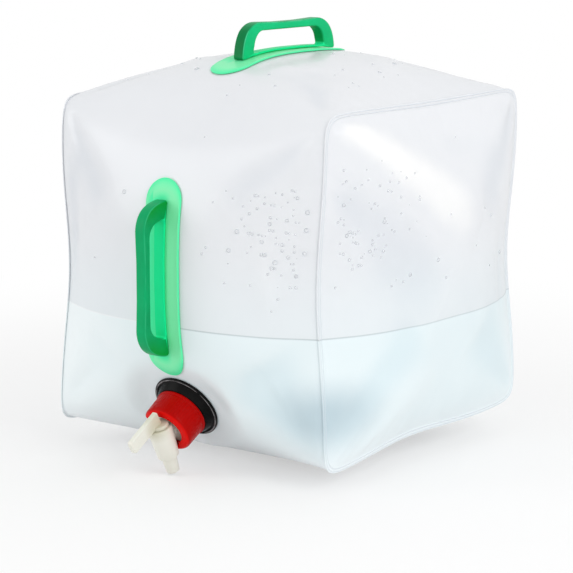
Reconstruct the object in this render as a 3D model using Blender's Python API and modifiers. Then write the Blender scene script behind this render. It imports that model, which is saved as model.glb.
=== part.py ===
"""Collapsible water carrier: a puffed bag of clear film with two moulded handles and a screw-on tap."""

import math

import bmesh
import bpy
from mathutils import Vector

# Bag, measured at its welded seams, and how far each side swells past them
bag_width = 0.278
bag_depth = 0.278
bag_height = 0.278
film_thickness = 0.0008
front_bulge = 0.0315
back_bulge = 0.028
top_bulge = 0.035
base_bulge = 0.026
side_bulge = 0.026
seam_lift = 0.022
seam_draw_across = 0.0084
seam_draw_in = 0.0018
weld_width = 0.0035
weld_overhang = 0.0015

# Roundness of the bag: powers of the curves that its sections follow
crown_power = 2.4
seam_corner_power = 18
top_roll_power = 2.8
base_roll_power = 2.6

# Places along the band and the panels where their sheets have a row of points
across_shares = (0.08, 0.16, 0.245, 0.36, 0.5, 0.66, 0.81, 0.93, 1.0)
panel_shares = (0.93, 0.8, 0.62, 0.4, 0.2)
side_steps = 14
corner_crowding_share = 0.8

# Gap that touching pieces keep
gap = 0.0003

# Handles and the pads under them
pad_length = 0.161
pad_width = 0.0365
pad_thickness = 0.0012
top_pad_centre = -0.0165
pad_above_neck = 0.0287
handle_length = 0.1275
handle_width = 0.0106
handle_height = 0.0252
top_handle_shift = 0.0075
front_handle_shift = 0.0005
grip_thickness = 0.0078
grip_dip = 0.0016
grip_dip_reach = 0.030
leg_thickness = 0.0150
leg_lean = 0.0050
strip_thickness = 0.0020
shoulder_radius = 0.0235
inner_corner_radius = 0.0125
foot_radius = 0.002
edge_round = 0.0010
edge_share = 0.4

# Neck: its seat on the film, its tilt and its thread
neck_seat_out = 0.0013
neck_seat_height = 0.0545
neck_tilt = 31.4
neck_seat_radius = 0.037
neck_blend_radius = 0.062
neck_bore_radius = 0.015
neck_radius = 0.018
neck_flange_radius = 0.026
neck_flange_thickness = 0.0018
neck_length = 0.019
thread_pitch = 0.004
thread_depth = 0.0010
thread_root_width = 0.0022
thread_crest_width = 0.0012
neck_thread_start = 0.0105
neck_thread_turns = 1.6
thread_sink = 0.0004

# Black dish between the collar and the film
dish_radius = 0.030
dish_rim_thickness = 0.0026
dish_groove_radius = 0.0275
dish_groove_depth = 0.0008
dish_top_radius = 0.0235
dish_height = 0.0083

# Red collar
collar_radius = 0.022
collar_flare = 0.0010
collar_front = 0.0312
collar_mouth_radius = 0.0174
collar_nose_round = 0.0035
collar_thread_turns = 1.2
notch_depth = 0.0068
notch_from = 62
notch_to = 200
hook_radius = 0.0020
hook_reach = 0.0185

# Gasket and tap body
gasket_thickness = 0.0016
tap_disc_radius = 0.0186
tap_disc_thickness = 0.0026
inlet_radius = 0.0075
inlet_bore_radius = 0.0048
inlet_port_radius = 0.0040
key_distance = 0.0372
key_tilt = 22.5
barrel_top = 0.0088
barrel_bottom = 0.0195
barrel_top_radius = 0.0107
barrel_bottom_radius = 0.0089

# Turning key with its paddle and spout tip
key_top_radius = 0.0072
key_taper = 0.0008
key_clearance = 0.00025
key_bore_radius = 0.004
key_bore_top = 0.004
port_radius = 0.0034
spout_drop = 0.0344
spout_end_radius = 0.0054
head_radius = 0.0082
head_thickness = 0.003
seal_height = 0.0066
seal_radius = 0.0008
paddle_length = 0.037
paddle_height = 0.0118
paddle_thickness = 0.0048
paddle_lift = 0.0171
paddle_corner = 0.0022

# Longest overrun of a cutter past what it cuts
overrun = 0.004

# Finish of each material: colour, roughness, opacity
film_finish = ((0.86, 0.90, 0.93), 0.25, 0.35)
pad_finish = ((0.30, 0.82, 0.52), 0.35, 0.75)
handle_finish = ((0.02, 0.55, 0.25), 0.35, 1.0)
black_finish = ((0.02, 0.02, 0.02), 0.35, 1.0)
rubber_finish = ((0.12, 0.12, 0.12), 0.7, 1.0)
collar_finish = ((0.72, 0.01, 0.01), 0.3, 1.0)
ivory_finish = ((0.86, 0.84, 0.76), 0.4, 1.0)

# Worked out from the sizes above
bag_middle = seam_lift + bag_height / 2
neck_seat_forward = bag_depth / 2 + neck_seat_out
front_pad_centre = neck_seat_height + pad_above_neck + pad_length / 2
top_handle_centre = top_pad_centre + top_handle_shift
front_handle_centre = front_pad_centre + front_handle_shift
neck_axis = Vector((0, -math.cos(math.radians(neck_tilt)), -math.sin(math.radians(neck_tilt))))
neck_seat = Vector((0, -neck_seat_forward, neck_seat_height))
key_axis = Vector((0, -math.sin(math.radians(key_tilt)), math.cos(math.radians(key_tilt))))
key_centre = neck_seat + neck_axis * key_distance
handle_stand_off = gap + pad_thickness + gap
gasket_bottom = neck_length + gap
disc_bottom = gasket_bottom + gasket_thickness + gap
disc_top = disc_bottom + tap_disc_thickness
lip_bottom = disc_top + gap
collar_back = dish_height + gap
collar_bore_radius = neck_radius + thread_depth + gap
merge_distance = gap / 20
round_steps = 40
barrel_steps = 30
key_steps = 26


def clear_scene():
    for old in list(bpy.data.objects):
        bpy.data.objects.remove(old, do_unlink=True)


def new_collection(name):
    collection = bpy.data.collections.new(name)
    bpy.context.scene.collection.children.link(collection)
    return collection


def new_material(name, finish):
    colour, roughness, opacity = finish
    material = bpy.data.materials.new(name)
    material.use_nodes = True
    shader = material.node_tree.nodes["Principled BSDF"]
    shader.inputs["Base Color"].default_value = (*colour, 1)
    shader.inputs["Roughness"].default_value = roughness
    shader.inputs["Metallic"].default_value = 0
    shader.inputs["Alpha"].default_value = opacity
    material.diffuse_color = (*colour, opacity)
    return material


def add_object(name, mesh, collection, material=None):
    made = bpy.data.objects.new(name, mesh)
    collection.objects.link(made)
    if material:
        mesh.materials.append(material)
    mesh.shade_smooth()
    mesh.set_sharp_from_angle(angle=math.radians(35))
    return made


def sheet_mesh(name, points, faces):
    """A mesh from points and faces, with points that coincide merged."""
    mesh = bpy.data.meshes.new(name)
    mesh.from_pydata(points, [], faces)
    work = bmesh.new()
    work.from_mesh(mesh)
    bmesh.ops.remove_doubles(work, verts=work.verts, dist=merge_distance)
    work.to_mesh(mesh)
    work.free()
    return mesh


def grid_faces(rows, columns, closed):
    """Quads of a grid whose rows follow each other; a closed grid's rows are loops."""
    faces = []
    for row in range(rows - 1):
        for column in range(columns if closed else columns - 1):
            following = (column + 1) % columns
            here = row * columns
            above = here + columns
            faces.append((here + column, above + column, above + following, here + following))
    return faces


def thicken(made, thickness, offset):
    wall = made.modifiers.new("wall", "SOLIDIFY")
    wall.thickness = thickness
    wall.offset = offset


def combine(made, tool, operation):
    """Cut a piece with a tool, or join the tool to it."""
    step = made.modifiers.new(operation.lower(), "BOOLEAN")
    step.operation = operation
    step.solver = "EXACT"
    step.object = tool
    tool.hide_render = True
    tool.display_type = "WIRE"


def turned_mesh(name, profile, steps, closed=True):
    """A profile of (radius, height) points turned about Z by the Screw modifier."""
    mesh = bpy.data.meshes.new(name)
    count = len(profile)
    edges = [(index, (index + 1) % count) for index in range(count if closed else count - 1)]
    mesh.from_pydata([(radius, 0, height) for radius, height in profile], edges, [])
    turned = bpy.data.objects.new(name + "_turning", mesh)
    bpy.context.scene.collection.objects.link(turned)
    screw = turned.modifiers.new("turn", "SCREW")
    screw.steps = steps
    screw.render_steps = steps
    screw.use_merge_vertices = True
    screw.merge_threshold = merge_distance
    view = bpy.context.evaluated_depsgraph_get()
    solid = bpy.data.meshes.new_from_object(turned.evaluated_get(view))
    bpy.data.objects.remove(turned, do_unlink=True)
    work = bmesh.new()
    work.from_mesh(solid)
    bmesh.ops.remove_doubles(work, verts=work.verts, dist=merge_distance)
    bmesh.ops.recalc_face_normals(work, faces=work.faces)
    work.to_mesh(solid)
    work.free()
    return solid


def place(made, frame):
    """Carry a piece on an axis frame, at the frame's origin."""
    made.parent = frame
    return made


def axis_frame(name, origin, tilt, collection):
    """An empty whose Z runs along a joint's axis, tilted about X by the given angle."""
    frame = bpy.data.objects.new(name, None)
    frame.location = origin
    frame.rotation_euler = (math.radians(tilt), 0, 0)
    frame.empty_display_size = neck_radius
    collection.objects.link(frame)
    return frame


def seat_neck(point):
    """Flatten the film to the neck's seat plane near the neck, and let it go smoothly further out."""
    offset = point - neck_seat
    height = offset.dot(neck_axis)
    if height < -neck_blend_radius:
        return point
    radial = (offset - neck_axis * height).length
    reach = (neck_blend_radius - radial) / (neck_blend_radius - neck_seat_radius)
    hold = min(max(reach, 0), 1)
    hold = hold * hold * (3 - 2 * hold)
    return point - neck_axis * height * hold


def band_surface(angle, across):
    """A point of the band: angle goes round from the front over the top, across from -1 to 1.

    Each section is a closed curve of the superellipse kind, nearly square at the seams and rounder
    and larger in the middle, cut flat where the bag stands.
    """
    fill = 1 - abs(across) ** crown_power
    forward = math.cos(angle)
    rise = math.sin(angle)
    half_depth = bag_depth / 2 + fill * (front_bulge if forward > 0 else back_bulge)
    half_height = bag_height / 2 + fill * (top_bulge if rise > 0 else base_bulge)
    roll_power = top_roll_power if rise > 0 else base_roll_power
    power = 1 / ((1 - fill) / seam_corner_power + fill / roll_power)
    reach = (abs(forward / half_depth) ** power + abs(rise / half_height) ** power) ** (-1 / power)
    side_share = math.cos(2 * angle) ** 2
    reach -= seam_draw_in * (1 - fill) * side_share
    half_width = bag_width / 2 - seam_draw_across * side_share
    height = max(bag_middle + reach * rise, 0)
    return seat_neck(Vector((across * half_width, -reach * forward, height)))


def loop_angles():
    """Angles round the band, closer together at the corners."""
    angles = []
    for side in range(4):
        for step in range(side_steps):
            place_share = 2 * step / side_steps - 1
            crowded = math.sin(math.pi / 2 * place_share)
            turn = corner_crowding_share * crowded + (1 - corner_crowding_share) * place_share
            angles.append(math.pi / 2 * side + math.pi / 4 * turn)
    return angles


def film_at(face, along, sideways):
    """The film's point on the top or front face at a place along it and sideways from its middle."""
    angle = math.pi / 2 if face == "top" else 0
    across = 2 * sideways / bag_width
    for _ in range(30):
        point = band_surface(angle, across)
        reached = point.y if face == "top" else point.z
        angle += (along - reached) / bag_depth
        across += (sideways - point.x) / bag_width
    return point


def film_normal(face, along, sideways):
    step = pad_width / 20
    along_run = film_at(face, along + step, sideways) - film_at(face, along - step, sideways)
    side_run = film_at(face, along, sideways + step) - film_at(face, along, sideways - step)
    normal = side_run.cross(along_run)
    normal.normalize()
    return normal


def make_band(parts, cutters, film, neck_frame):
    """The wraparound strip of film, open at both sides and holed for the neck."""
    stations = [-share for share in reversed(across_shares)] + [0] + list(across_shares)
    angles = loop_angles()
    points = [band_surface(angle, across) for across in stations for angle in angles]
    mesh = sheet_mesh("film_band", points, grid_faces(len(stations), len(angles), True))
    band = add_object("film_band", mesh, parts, film)
    thicken(band, film_thickness, -1)
    hole = add_object("neck_hole", round_mesh("neck_hole", neck_radius + gap, -overrun, overrun), cutters)
    place(hole, neck_frame)
    combine(band, hole, "DIFFERENCE")


def round_mesh(name, radius, bottom, top, steps=round_steps):
    """A plain closed cylinder along Z between two heights."""
    mesh = bpy.data.meshes.new(name)
    work = bmesh.new()
    bmesh.ops.create_cone(
        work, cap_ends=True, segments=steps, radius1=radius, radius2=radius, depth=top - bottom
    )
    bmesh.ops.translate(work, verts=work.verts, vec=(0, 0, (top + bottom) / 2))
    work.to_mesh(mesh)
    work.free()
    return mesh


def make_panel(name, side, parts, film):
    """One side sheet: a flat welded rim on the band's edge, then a crowned middle."""
    angles = loop_angles()
    centre = Vector((0, 0, bag_middle))
    crown = bag_width / 2 + side_bulge
    rings = []
    for edge in (weld_overhang, -weld_width):
        ring = []
        for angle in angles:
            seam = band_surface(angle, side)
            flat = Vector((0, seam.y, seam.z)) - centre
            reach = flat.length + edge
            spot = centre + flat.normalized() * reach
            ring.append(Vector((seam.x + side * gap, spot.y, spot.z)))
        rings.append(ring)
    inner = rings[-1]
    for share in panel_shares:
        rise = 1 - share ** crown_power
        ring = []
        for point in inner:
            flat = centre + (Vector((0, point.y, point.z)) - centre) * share
            ring.append(Vector((point.x + (side * crown - point.x) * rise, flat.y, flat.z)))
        rings.append(ring)
    points = [point for ring in rings for point in ring]
    count = len(angles)
    faces = grid_faces(len(rings), count, True)
    points.append(Vector((side * crown, 0, bag_middle)))
    last = (len(rings) - 1) * count
    for index in range(count):
        faces.append((last + index, len(points) - 1, last + (index + 1) % count))
    if side < 0:
        faces = [tuple(reversed(face)) for face in faces]
    panel = add_object(name, sheet_mesh(name, points, faces), parts, film)
    thicken(panel, film_thickness, 1)


def pad_rows():
    """Places along a pad with the half width there: straight sides and round ends."""
    end_radius = pad_width / 2
    straight = pad_length / 2 - end_radius
    turns = [math.pi / 8 * step for step in range(4, 0, -1)]
    rows = [(-straight - end_radius * math.sin(turn), end_radius * math.cos(turn)) for turn in turns]
    rows += [(straight * share / 5, end_radius) for share in range(-5, 6)]
    turns.reverse()
    rows += [(straight + end_radius * math.sin(turn), end_radius * math.cos(turn)) for turn in turns]
    return rows


def make_pad(name, face, centre, parts, finish):
    """A thin oval patch that follows the film."""
    points = []
    rows = pad_rows()
    for along, half_width in rows:
        for step in range(3, -4, -1):
            sideways = half_width * step / 3
            normal = film_normal(face, centre + along, sideways)
            points.append(film_at(face, centre + along, sideways) + normal * gap * 2)
    mesh = sheet_mesh(name, points, grid_faces(len(rows), 7, False))
    pad = add_object(name, mesh, parts, finish)
    thicken(pad, pad_thickness, 1)


def fillet(corners, radii, steps=5):
    """Points of a closed outline whose corners are rounded by arcs."""
    points = []
    count = len(corners)
    for index, corner in enumerate(corners):
        here = Vector(corner)
        radius = radii[index]
        if radius == 0:
            points.append(here)
            continue
        back = (Vector(corners[index - 1]) - here).normalized()
        ahead = (Vector(corners[(index + 1) % count]) - here).normalized()
        half = back.angle(ahead) / 2
        middle = here + (back + ahead).normalized() * radius / math.sin(half)
        start = here + back * radius / math.tan(half) - middle
        end = here + ahead * radius / math.tan(half) - middle
        sweep = start.angle_signed(end)
        for step in range(steps + 1):
            turn = sweep * step / steps
            spin = Vector((
                start.x * math.cos(turn) + start.y * math.sin(turn),
                start.y * math.cos(turn) - start.x * math.sin(turn),
            ))
            points.append(middle + spin)
    return points


def handle_outlines():
    """The handle's outer and inner outlines, matched point by point: (along, height above the pad)."""
    half = handle_length / 2
    top = handle_height
    under = handle_height - grip_thickness
    shoulder = half - leg_lean
    inside = half - leg_thickness
    inside_top = inside - leg_lean
    dip = grip_dip_reach / 2
    waist = top - grip_dip
    outer = fillet(
        [(half, 0), (shoulder, top), (dip, waist), (-dip, waist), (-shoulder, top), (-half, 0)],
        [foot_radius, shoulder_radius, grip_dip_reach, grip_dip_reach, shoulder_radius, foot_radius],
    )
    window = fillet(
        [(inside, strip_thickness), (inside_top, under), (-inside_top, under), (-inside, strip_thickness)],
        [foot_radius, inner_corner_radius, inner_corner_radius, foot_radius],
    )
    arc = len(outer) // 6
    inner = window[:2 * arc]
    inner += [Vector((point.x, under)) for point in outer[2 * arc:4 * arc]]
    inner += window[2 * arc:]
    steps = 12
    foot = half - foot_radius
    outer += [Vector((foot * (2 * step / steps - 1), 0)) for step in range(1, steps)]
    inner += [Vector((inside * (2 * step / steps - 1), strip_thickness)) for step in range(1, steps)]
    return outer, inner


def handle_section(outside, inside):
    """A section of the handle with rounded corners: (along, height, sideways)."""
    length = (inside - outside).length
    inward = (inside - outside) / length
    edge = min(edge_round, length * edge_share)
    half = handle_width / 2 - edge
    points = []
    for corner in range(4):
        middle = math.pi / 4 - math.pi / 2 * corner
        depth = edge if math.cos(middle) > 0 else length - edge
        side = math.copysign(half, math.sin(middle))
        for step in (1, 0, -1):
            turn = middle + math.pi / 4 * step
            spot = outside + inward * (depth - edge * math.cos(turn))
            points.append(Vector((spot.x, spot.y, side + edge * math.sin(turn))))
    return points


def make_handle(name, face, centre, parts, finish):
    """A D-shaped moulding with a base strip that follows the pad and a straight grip above it."""
    middle = film_at(face, centre, 0)
    points = []
    for outside, inside in zip(*handle_outlines()):
        for along, height, sideways in handle_section(outside, inside):
            base = film_at(face, centre + along, 0)
            lifted = min(max(height / (handle_height - grip_thickness), 0), 1)
            if face == "top":
                level = base.z + (middle.z - base.z) * lifted + handle_stand_off + gap
                points.append((sideways, centre + along, level + height))
            else:
                level = base.y + (middle.y - base.y) * lifted - handle_stand_off - gap
                points.append((sideways, level - height, centre + along))
    sections = len(points) // 12
    faces = []
    for section in range(sections):
        here = section * 12
        ahead = (section + 1) % sections * 12
        for corner in range(12):
            following = (corner + 1) % 12
            faces.append((here + corner, here + following, ahead + following, ahead + corner))
    mesh = sheet_mesh(name, points, faces)
    work = bmesh.new()
    work.from_mesh(mesh)
    bmesh.ops.recalc_face_normals(work, faces=work.faces)
    work.to_mesh(mesh)
    work.free()
    add_object(name, mesh, parts, finish)


def thread_mesh(name, root, crest, start, turns):
    """A screw thread's ridge: a four-sided section carried along a right-hand helix."""
    steps = round(turns * round_steps)
    points = []
    for step in range(steps + 1):
        turn = 2 * math.pi * step / round_steps
        level = start + thread_pitch * step / round_steps
        half_root = thread_root_width / 2
        half_crest = thread_crest_width / 2
        section = ((root, -half_root), (crest, -half_crest), (crest, half_crest), (root, half_root))
        for radius, lift in section:
            points.append((radius * math.cos(turn), radius * math.sin(turn), level + lift))
    faces = grid_faces(steps + 1, 4, True)
    faces.append((0, 1, 2, 3))
    faces.append(tuple(steps * 4 + corner for corner in (3, 2, 1, 0)))
    mesh = bpy.data.meshes.new(name)
    mesh.from_pydata(points, [], faces)
    work = bmesh.new()
    work.from_mesh(mesh)
    bmesh.ops.recalc_face_normals(work, faces=work.faces)
    work.to_mesh(mesh)
    work.free()
    return mesh


def make_neck(parts, cutters, black, neck_frame):
    """The neck: an inner flange behind the film and a threaded tube through it."""
    flange_top = -film_thickness - gap
    flange_bottom = flange_top - neck_flange_thickness
    profile = [
        (neck_bore_radius, neck_length),
        (neck_radius, neck_length),
        (neck_radius, flange_top),
        (neck_flange_radius, flange_top),
        (neck_flange_radius, flange_bottom),
        (neck_bore_radius, flange_bottom),
    ]
    neck = add_object("neck_fitment", turned_mesh("neck_fitment", profile, round_steps), parts, black)
    place(neck, neck_frame)
    crest = neck_radius + thread_depth
    ridge_mesh = thread_mesh(
        "neck_thread", neck_radius - thread_sink, crest, neck_thread_start, neck_thread_turns
    )
    ridge = add_object("neck_thread", ridge_mesh, cutters)
    place(ridge, neck_frame)
    combine(neck, ridge, "UNION")


def make_dish(parts, rubber, neck_frame):
    """The black dish: flat on the film, with a raised rim, a groove and a cone up to the collar."""
    bore = neck_radius + gap
    profile = [
        (bore, dish_height),
        (dish_top_radius, dish_height),
        (dish_groove_radius - dish_groove_depth, dish_rim_thickness),
        (dish_groove_radius, dish_rim_thickness - dish_groove_depth),
        (dish_groove_radius + dish_groove_depth, dish_rim_thickness),
        (dish_radius - dish_groove_depth, dish_rim_thickness),
        (dish_radius, dish_rim_thickness - dish_groove_depth),
        (dish_radius, gap + dish_groove_depth),
        (dish_radius - dish_groove_depth, gap),
        (bore, gap),
    ]
    dish = add_object("sealing_dish", turned_mesh("sealing_dish", profile, round_steps), parts, rubber)
    place(dish, neck_frame)


def sector_mesh(name, inner, outer, bottom, top, start, end):
    """A ring sector between two angles, as a closed solid."""
    steps = 16
    points = []
    for step in range(steps + 1):
        turn = math.radians(start + (end - start) * step / steps)
        for radius, level in ((inner, bottom), (outer, bottom), (outer, top), (inner, top)):
            points.append((radius * math.cos(turn), radius * math.sin(turn), level))
    faces = grid_faces(steps + 1, 4, True)
    faces.append((0, 1, 2, 3))
    faces.append(tuple(steps * 4 + corner for corner in (3, 2, 1, 0)))
    mesh = bpy.data.meshes.new(name)
    mesh.from_pydata(points, [], faces)
    work = bmesh.new()
    work.from_mesh(mesh)
    bmesh.ops.recalc_face_normals(work, faces=work.faces)
    work.to_mesh(mesh)
    work.free()
    return mesh


def make_collar(parts, cutters, red, spigot_frame):
    """The collar: a threaded skirt, a lip over the tap's disc and a C-shaped shroud round the barrel."""
    nose_radius = collar_radius - collar_nose_round
    nose_start = collar_front - collar_nose_round
    nose = []
    for step in range(6):
        turn = math.pi / 2 * step / 5
        nose.append((nose_radius + collar_nose_round * math.sin(turn),
                     nose_start + collar_nose_round * math.cos(turn)))
    profile = [
        (collar_mouth_radius, collar_front),
        *nose,
        (collar_radius, lip_bottom),
        (collar_radius + collar_flare, collar_back),
        (collar_bore_radius, collar_back),
        (collar_bore_radius, lip_bottom),
        (collar_mouth_radius, lip_bottom),
    ]
    collar = add_object("screw_collar", turned_mesh("screw_collar", profile, round_steps), parts, red)
    place(collar, spigot_frame)
    notch_bottom = collar_front - notch_depth
    notch_outer = collar_radius + overrun
    notch_mesh = sector_mesh(
        "collar_notch", collar_mouth_radius - overrun, notch_outer, notch_bottom,
        collar_front + overrun, -notch_to, -notch_from,
    )
    notch = add_object("collar_notch", notch_mesh, cutters)
    place(notch, spigot_frame)
    combine(collar, notch, "DIFFERENCE")
    hook_turn = math.radians(-notch_from)
    hook_mesh = round_mesh("collar_hook", hook_radius, notch_bottom, collar_front - gap, barrel_steps)
    hook = add_object("collar_hook", hook_mesh, cutters)
    place(hook, spigot_frame)
    hook.location = (hook_reach * math.cos(hook_turn), hook_reach * math.sin(hook_turn), 0)
    combine(collar, hook, "UNION")
    root = collar_bore_radius + thread_sink
    crest = neck_radius + gap
    start = neck_thread_start + thread_pitch / 2
    ridge_mesh = thread_mesh("collar_thread", root, crest, start, collar_thread_turns)
    ridge = add_object("collar_thread", ridge_mesh, cutters)
    place(ridge, spigot_frame)
    combine(collar, ridge, "UNION")


def make_gasket(parts, rubber, spigot_frame):
    """The flat ring on the neck's mouth."""
    bore = neck_bore_radius + gap
    outer = neck_radius
    top = gasket_bottom + gasket_thickness
    profile = [(bore, top), (outer, top), (outer, gasket_bottom), (bore, gasket_bottom)]
    gasket = add_object("neck_gasket", turned_mesh("neck_gasket", profile, round_steps), parts, rubber)
    place(gasket, spigot_frame)


def key_radius_at(height):
    """The key's taper: its outer radius at a height above its centre."""
    share = (barrel_top - height) / (barrel_top + barrel_bottom)
    return key_top_radius - key_taper * share


def seal_ring_radius():
    """The ring's own radius: it lies just inside the barrel's bore."""
    return key_radius_at(seal_height) + key_clearance - gap - seal_radius


def make_tap_body(parts, cutters, ivory, spigot_frame, key_frame):
    """The tap body: a disc and an inlet tube along the neck, and a tapered barrel across it."""
    inlet_end = key_distance - key_top_radius
    profile = [
        (inlet_bore_radius, inlet_end),
        (inlet_radius, inlet_end),
        (inlet_radius, disc_top),
        (tap_disc_radius, disc_top),
        (tap_disc_radius, disc_bottom),
        (inlet_bore_radius, disc_bottom),
    ]
    body = add_object("tap_body", turned_mesh("tap_body", profile, round_steps), parts, ivory)
    place(body, spigot_frame)
    barrel_profile = [
        (0, barrel_top),
        (barrel_top_radius, barrel_top),
        (barrel_bottom_radius, -barrel_bottom),
        (0, -barrel_bottom),
    ]
    barrel_mesh = turned_mesh("tap_barrel", barrel_profile, barrel_steps, closed=False)
    barrel = add_object("tap_barrel", barrel_mesh, cutters)
    place(barrel, key_frame)
    combine(body, barrel, "UNION")
    seat_profile = [
        (0, barrel_top + overrun),
        (key_radius_at(barrel_top + overrun) + key_clearance, barrel_top + overrun),
        (key_radius_at(-barrel_bottom - overrun) + key_clearance, -barrel_bottom - overrun),
        (0, -barrel_bottom - overrun),
    ]
    seat_mesh = turned_mesh("tap_seat", seat_profile, key_steps, closed=False)
    seat = add_object("tap_seat", seat_mesh, cutters)
    place(seat, key_frame)
    combine(body, seat, "DIFFERENCE")
    port_mesh = round_mesh("inlet_port", inlet_port_radius, disc_top, key_distance, barrel_steps)
    port = add_object("inlet_port", port_mesh, cutters)
    place(port, spigot_frame)
    combine(body, port, "DIFFERENCE")


def make_key(parts, cutters, ivory, key_frame):
    """The turning key: a bored taper plug with a side port, a spout tip, a head and a flat paddle."""
    groove_top = seal_height + seal_radius + gap
    groove_bottom = seal_height - seal_radius - gap
    groove_radius = seal_ring_radius() - seal_radius - gap
    head_bottom = barrel_top + gap
    head_top = head_bottom + head_thickness
    profile = [
        (0, head_top),
        (head_radius, head_top),
        (head_radius, head_bottom),
        (key_radius_at(head_bottom), head_bottom),
        (key_radius_at(groove_top), groove_top),
        (groove_radius, groove_top),
        (groove_radius, groove_bottom),
        (key_radius_at(groove_bottom), groove_bottom),
        (key_radius_at(-barrel_bottom), -barrel_bottom),
        (spout_end_radius, -spout_drop),
        (key_bore_radius, -spout_drop),
        (key_bore_radius, key_bore_top),
        (0, key_bore_top),
    ]
    mesh = turned_mesh("tap_key", profile, key_steps, closed=False)
    key = add_object("tap_key", mesh, parts, ivory)
    place(key, key_frame)
    droop = math.radians(neck_tilt - key_tilt)
    port_mesh = round_mesh("key_port", port_radius, 0, key_top_radius + overrun, key_steps - 2)
    port = add_object("key_port", port_mesh, cutters)
    place(port, key_frame)
    port.rotation_euler = (-math.pi / 2 - droop, 0, 0)
    combine(key, port, "DIFFERENCE")
    paddle_mesh = bpy.data.meshes.new("key_paddle")
    work = bmesh.new()
    bmesh.ops.create_cube(work, size=1)
    size = Vector((paddle_thickness, paddle_length, paddle_height))
    bmesh.ops.scale(work, verts=work.verts, vec=size)
    bmesh.ops.translate(work, verts=work.verts, vec=(0, -paddle_length / 2, 0))
    end_edges = [
        edge for edge in work.edges
        if all(vertex.co.y < -paddle_length / 2 for vertex in edge.verts)
        and abs(edge.verts[0].co.x - edge.verts[1].co.x) > gap
    ]
    bmesh.ops.bevel(work, geom=end_edges, offset=paddle_corner, segments=3, profile=0.5, affect="EDGES")
    work.to_mesh(paddle_mesh)
    work.free()
    paddle = add_object("key_paddle", paddle_mesh, cutters)
    place(paddle, key_frame)
    paddle.location = (0, gap, paddle_lift)
    paddle.rotation_euler = (droop, 0, 0)
    combine(key, paddle, "UNION")


def make_key_seal(parts, rubber, key_frame):
    """The ring in the key's groove."""
    ring_radius = seal_ring_radius()
    sides = 8
    profile = []
    for step in range(sides):
        turn = -2 * math.pi * step / sides
        out = seal_radius * math.cos(turn)
        up = seal_radius * math.sin(turn)
        profile.append((ring_radius + out, seal_height + up))
    seal = add_object("key_o_ring", turned_mesh("key_o_ring", profile, key_steps), parts, rubber)
    place(seal, key_frame)


def main():
    clear_scene()
    parts = new_collection("water_carrier")
    cutters = new_collection("cutters")
    film = new_material("film", film_finish)
    pad = new_material("pad", pad_finish)
    handle = new_material("handle", handle_finish)
    black = new_material("black_plastic", black_finish)
    rubber = new_material("seal_rubber", rubber_finish)
    red = new_material("collar_red", collar_finish)
    ivory = new_material("ivory", ivory_finish)
    neck_frame = axis_frame("neck_frame", neck_seat, 90 + neck_tilt, parts)
    spigot_frame = axis_frame("spigot_axis", neck_seat, 90 + neck_tilt, parts)
    key_frame = axis_frame("key_axis", key_centre, key_tilt, parts)
    make_band(parts, cutters, film, neck_frame)
    make_panel("left_panel", -1, parts, film)
    make_panel("right_panel", 1, parts, film)
    make_pad("top_pad", "top", top_pad_centre, parts, pad)
    make_pad("front_pad", "front", front_pad_centre, parts, pad)
    make_handle("top_handle", "top", top_handle_centre, parts, handle)
    make_handle("front_handle", "front", front_handle_centre, parts, handle)
    make_neck(parts, cutters, black, neck_frame)
    make_dish(parts, black, neck_frame)
    make_collar(parts, cutters, red, spigot_frame)
    make_gasket(parts, rubber, spigot_frame)
    make_tap_body(parts, cutters, ivory, spigot_frame, key_frame)
    make_key(parts, cutters, ivory, key_frame)
    make_key_seal(parts, rubber, key_frame)


main()
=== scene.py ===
"""Collapsible water carrier: film bag with water in it, green handles and a screw-on tap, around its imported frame."""

import math

import bmesh
import bpy
import numpy as np
from bpy.props import FloatProperty, FloatVectorProperty, IntProperty, PointerProperty
from mathutils import Matrix, Vector


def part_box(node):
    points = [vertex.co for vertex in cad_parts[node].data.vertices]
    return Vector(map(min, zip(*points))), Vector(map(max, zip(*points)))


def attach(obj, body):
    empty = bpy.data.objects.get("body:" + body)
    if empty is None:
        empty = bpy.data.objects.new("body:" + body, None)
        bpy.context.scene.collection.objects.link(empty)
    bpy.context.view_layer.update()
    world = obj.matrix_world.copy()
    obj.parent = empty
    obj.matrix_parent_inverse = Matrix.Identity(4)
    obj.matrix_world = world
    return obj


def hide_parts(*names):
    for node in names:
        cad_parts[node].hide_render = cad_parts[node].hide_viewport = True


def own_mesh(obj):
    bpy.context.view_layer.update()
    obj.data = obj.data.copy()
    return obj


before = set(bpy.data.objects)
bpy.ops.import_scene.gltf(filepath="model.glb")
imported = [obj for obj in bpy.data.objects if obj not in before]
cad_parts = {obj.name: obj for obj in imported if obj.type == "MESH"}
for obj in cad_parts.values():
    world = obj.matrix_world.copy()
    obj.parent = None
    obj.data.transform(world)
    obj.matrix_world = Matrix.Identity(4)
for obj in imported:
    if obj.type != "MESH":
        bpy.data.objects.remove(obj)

bl_info = {
    "name": "Water Carrier",
    "version": (1, 0, 0),
    "blender": (4, 5, 0),
    "location": "3D View > Sidebar > Water Carrier",
    "description": "Builds a collapsible water carrier around its packed frame",
    "category": "Add Mesh",
}

band_low, band_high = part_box("film_band")


def length(name, description, default):
    """A size in metres."""
    return FloatProperty(
        name=name, description=description, default=default, precision=4, subtype="DISTANCE", unit="LENGTH"
    )


def number(name, description, default):
    """A plain number."""
    return FloatProperty(name=name, description=description, default=default)


def colour(name, description, default):
    """A linear colour."""
    return FloatVectorProperty(
        name=name, description=description, default=default, size=3, min=0, max=1, subtype="COLOR"
    )


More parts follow.
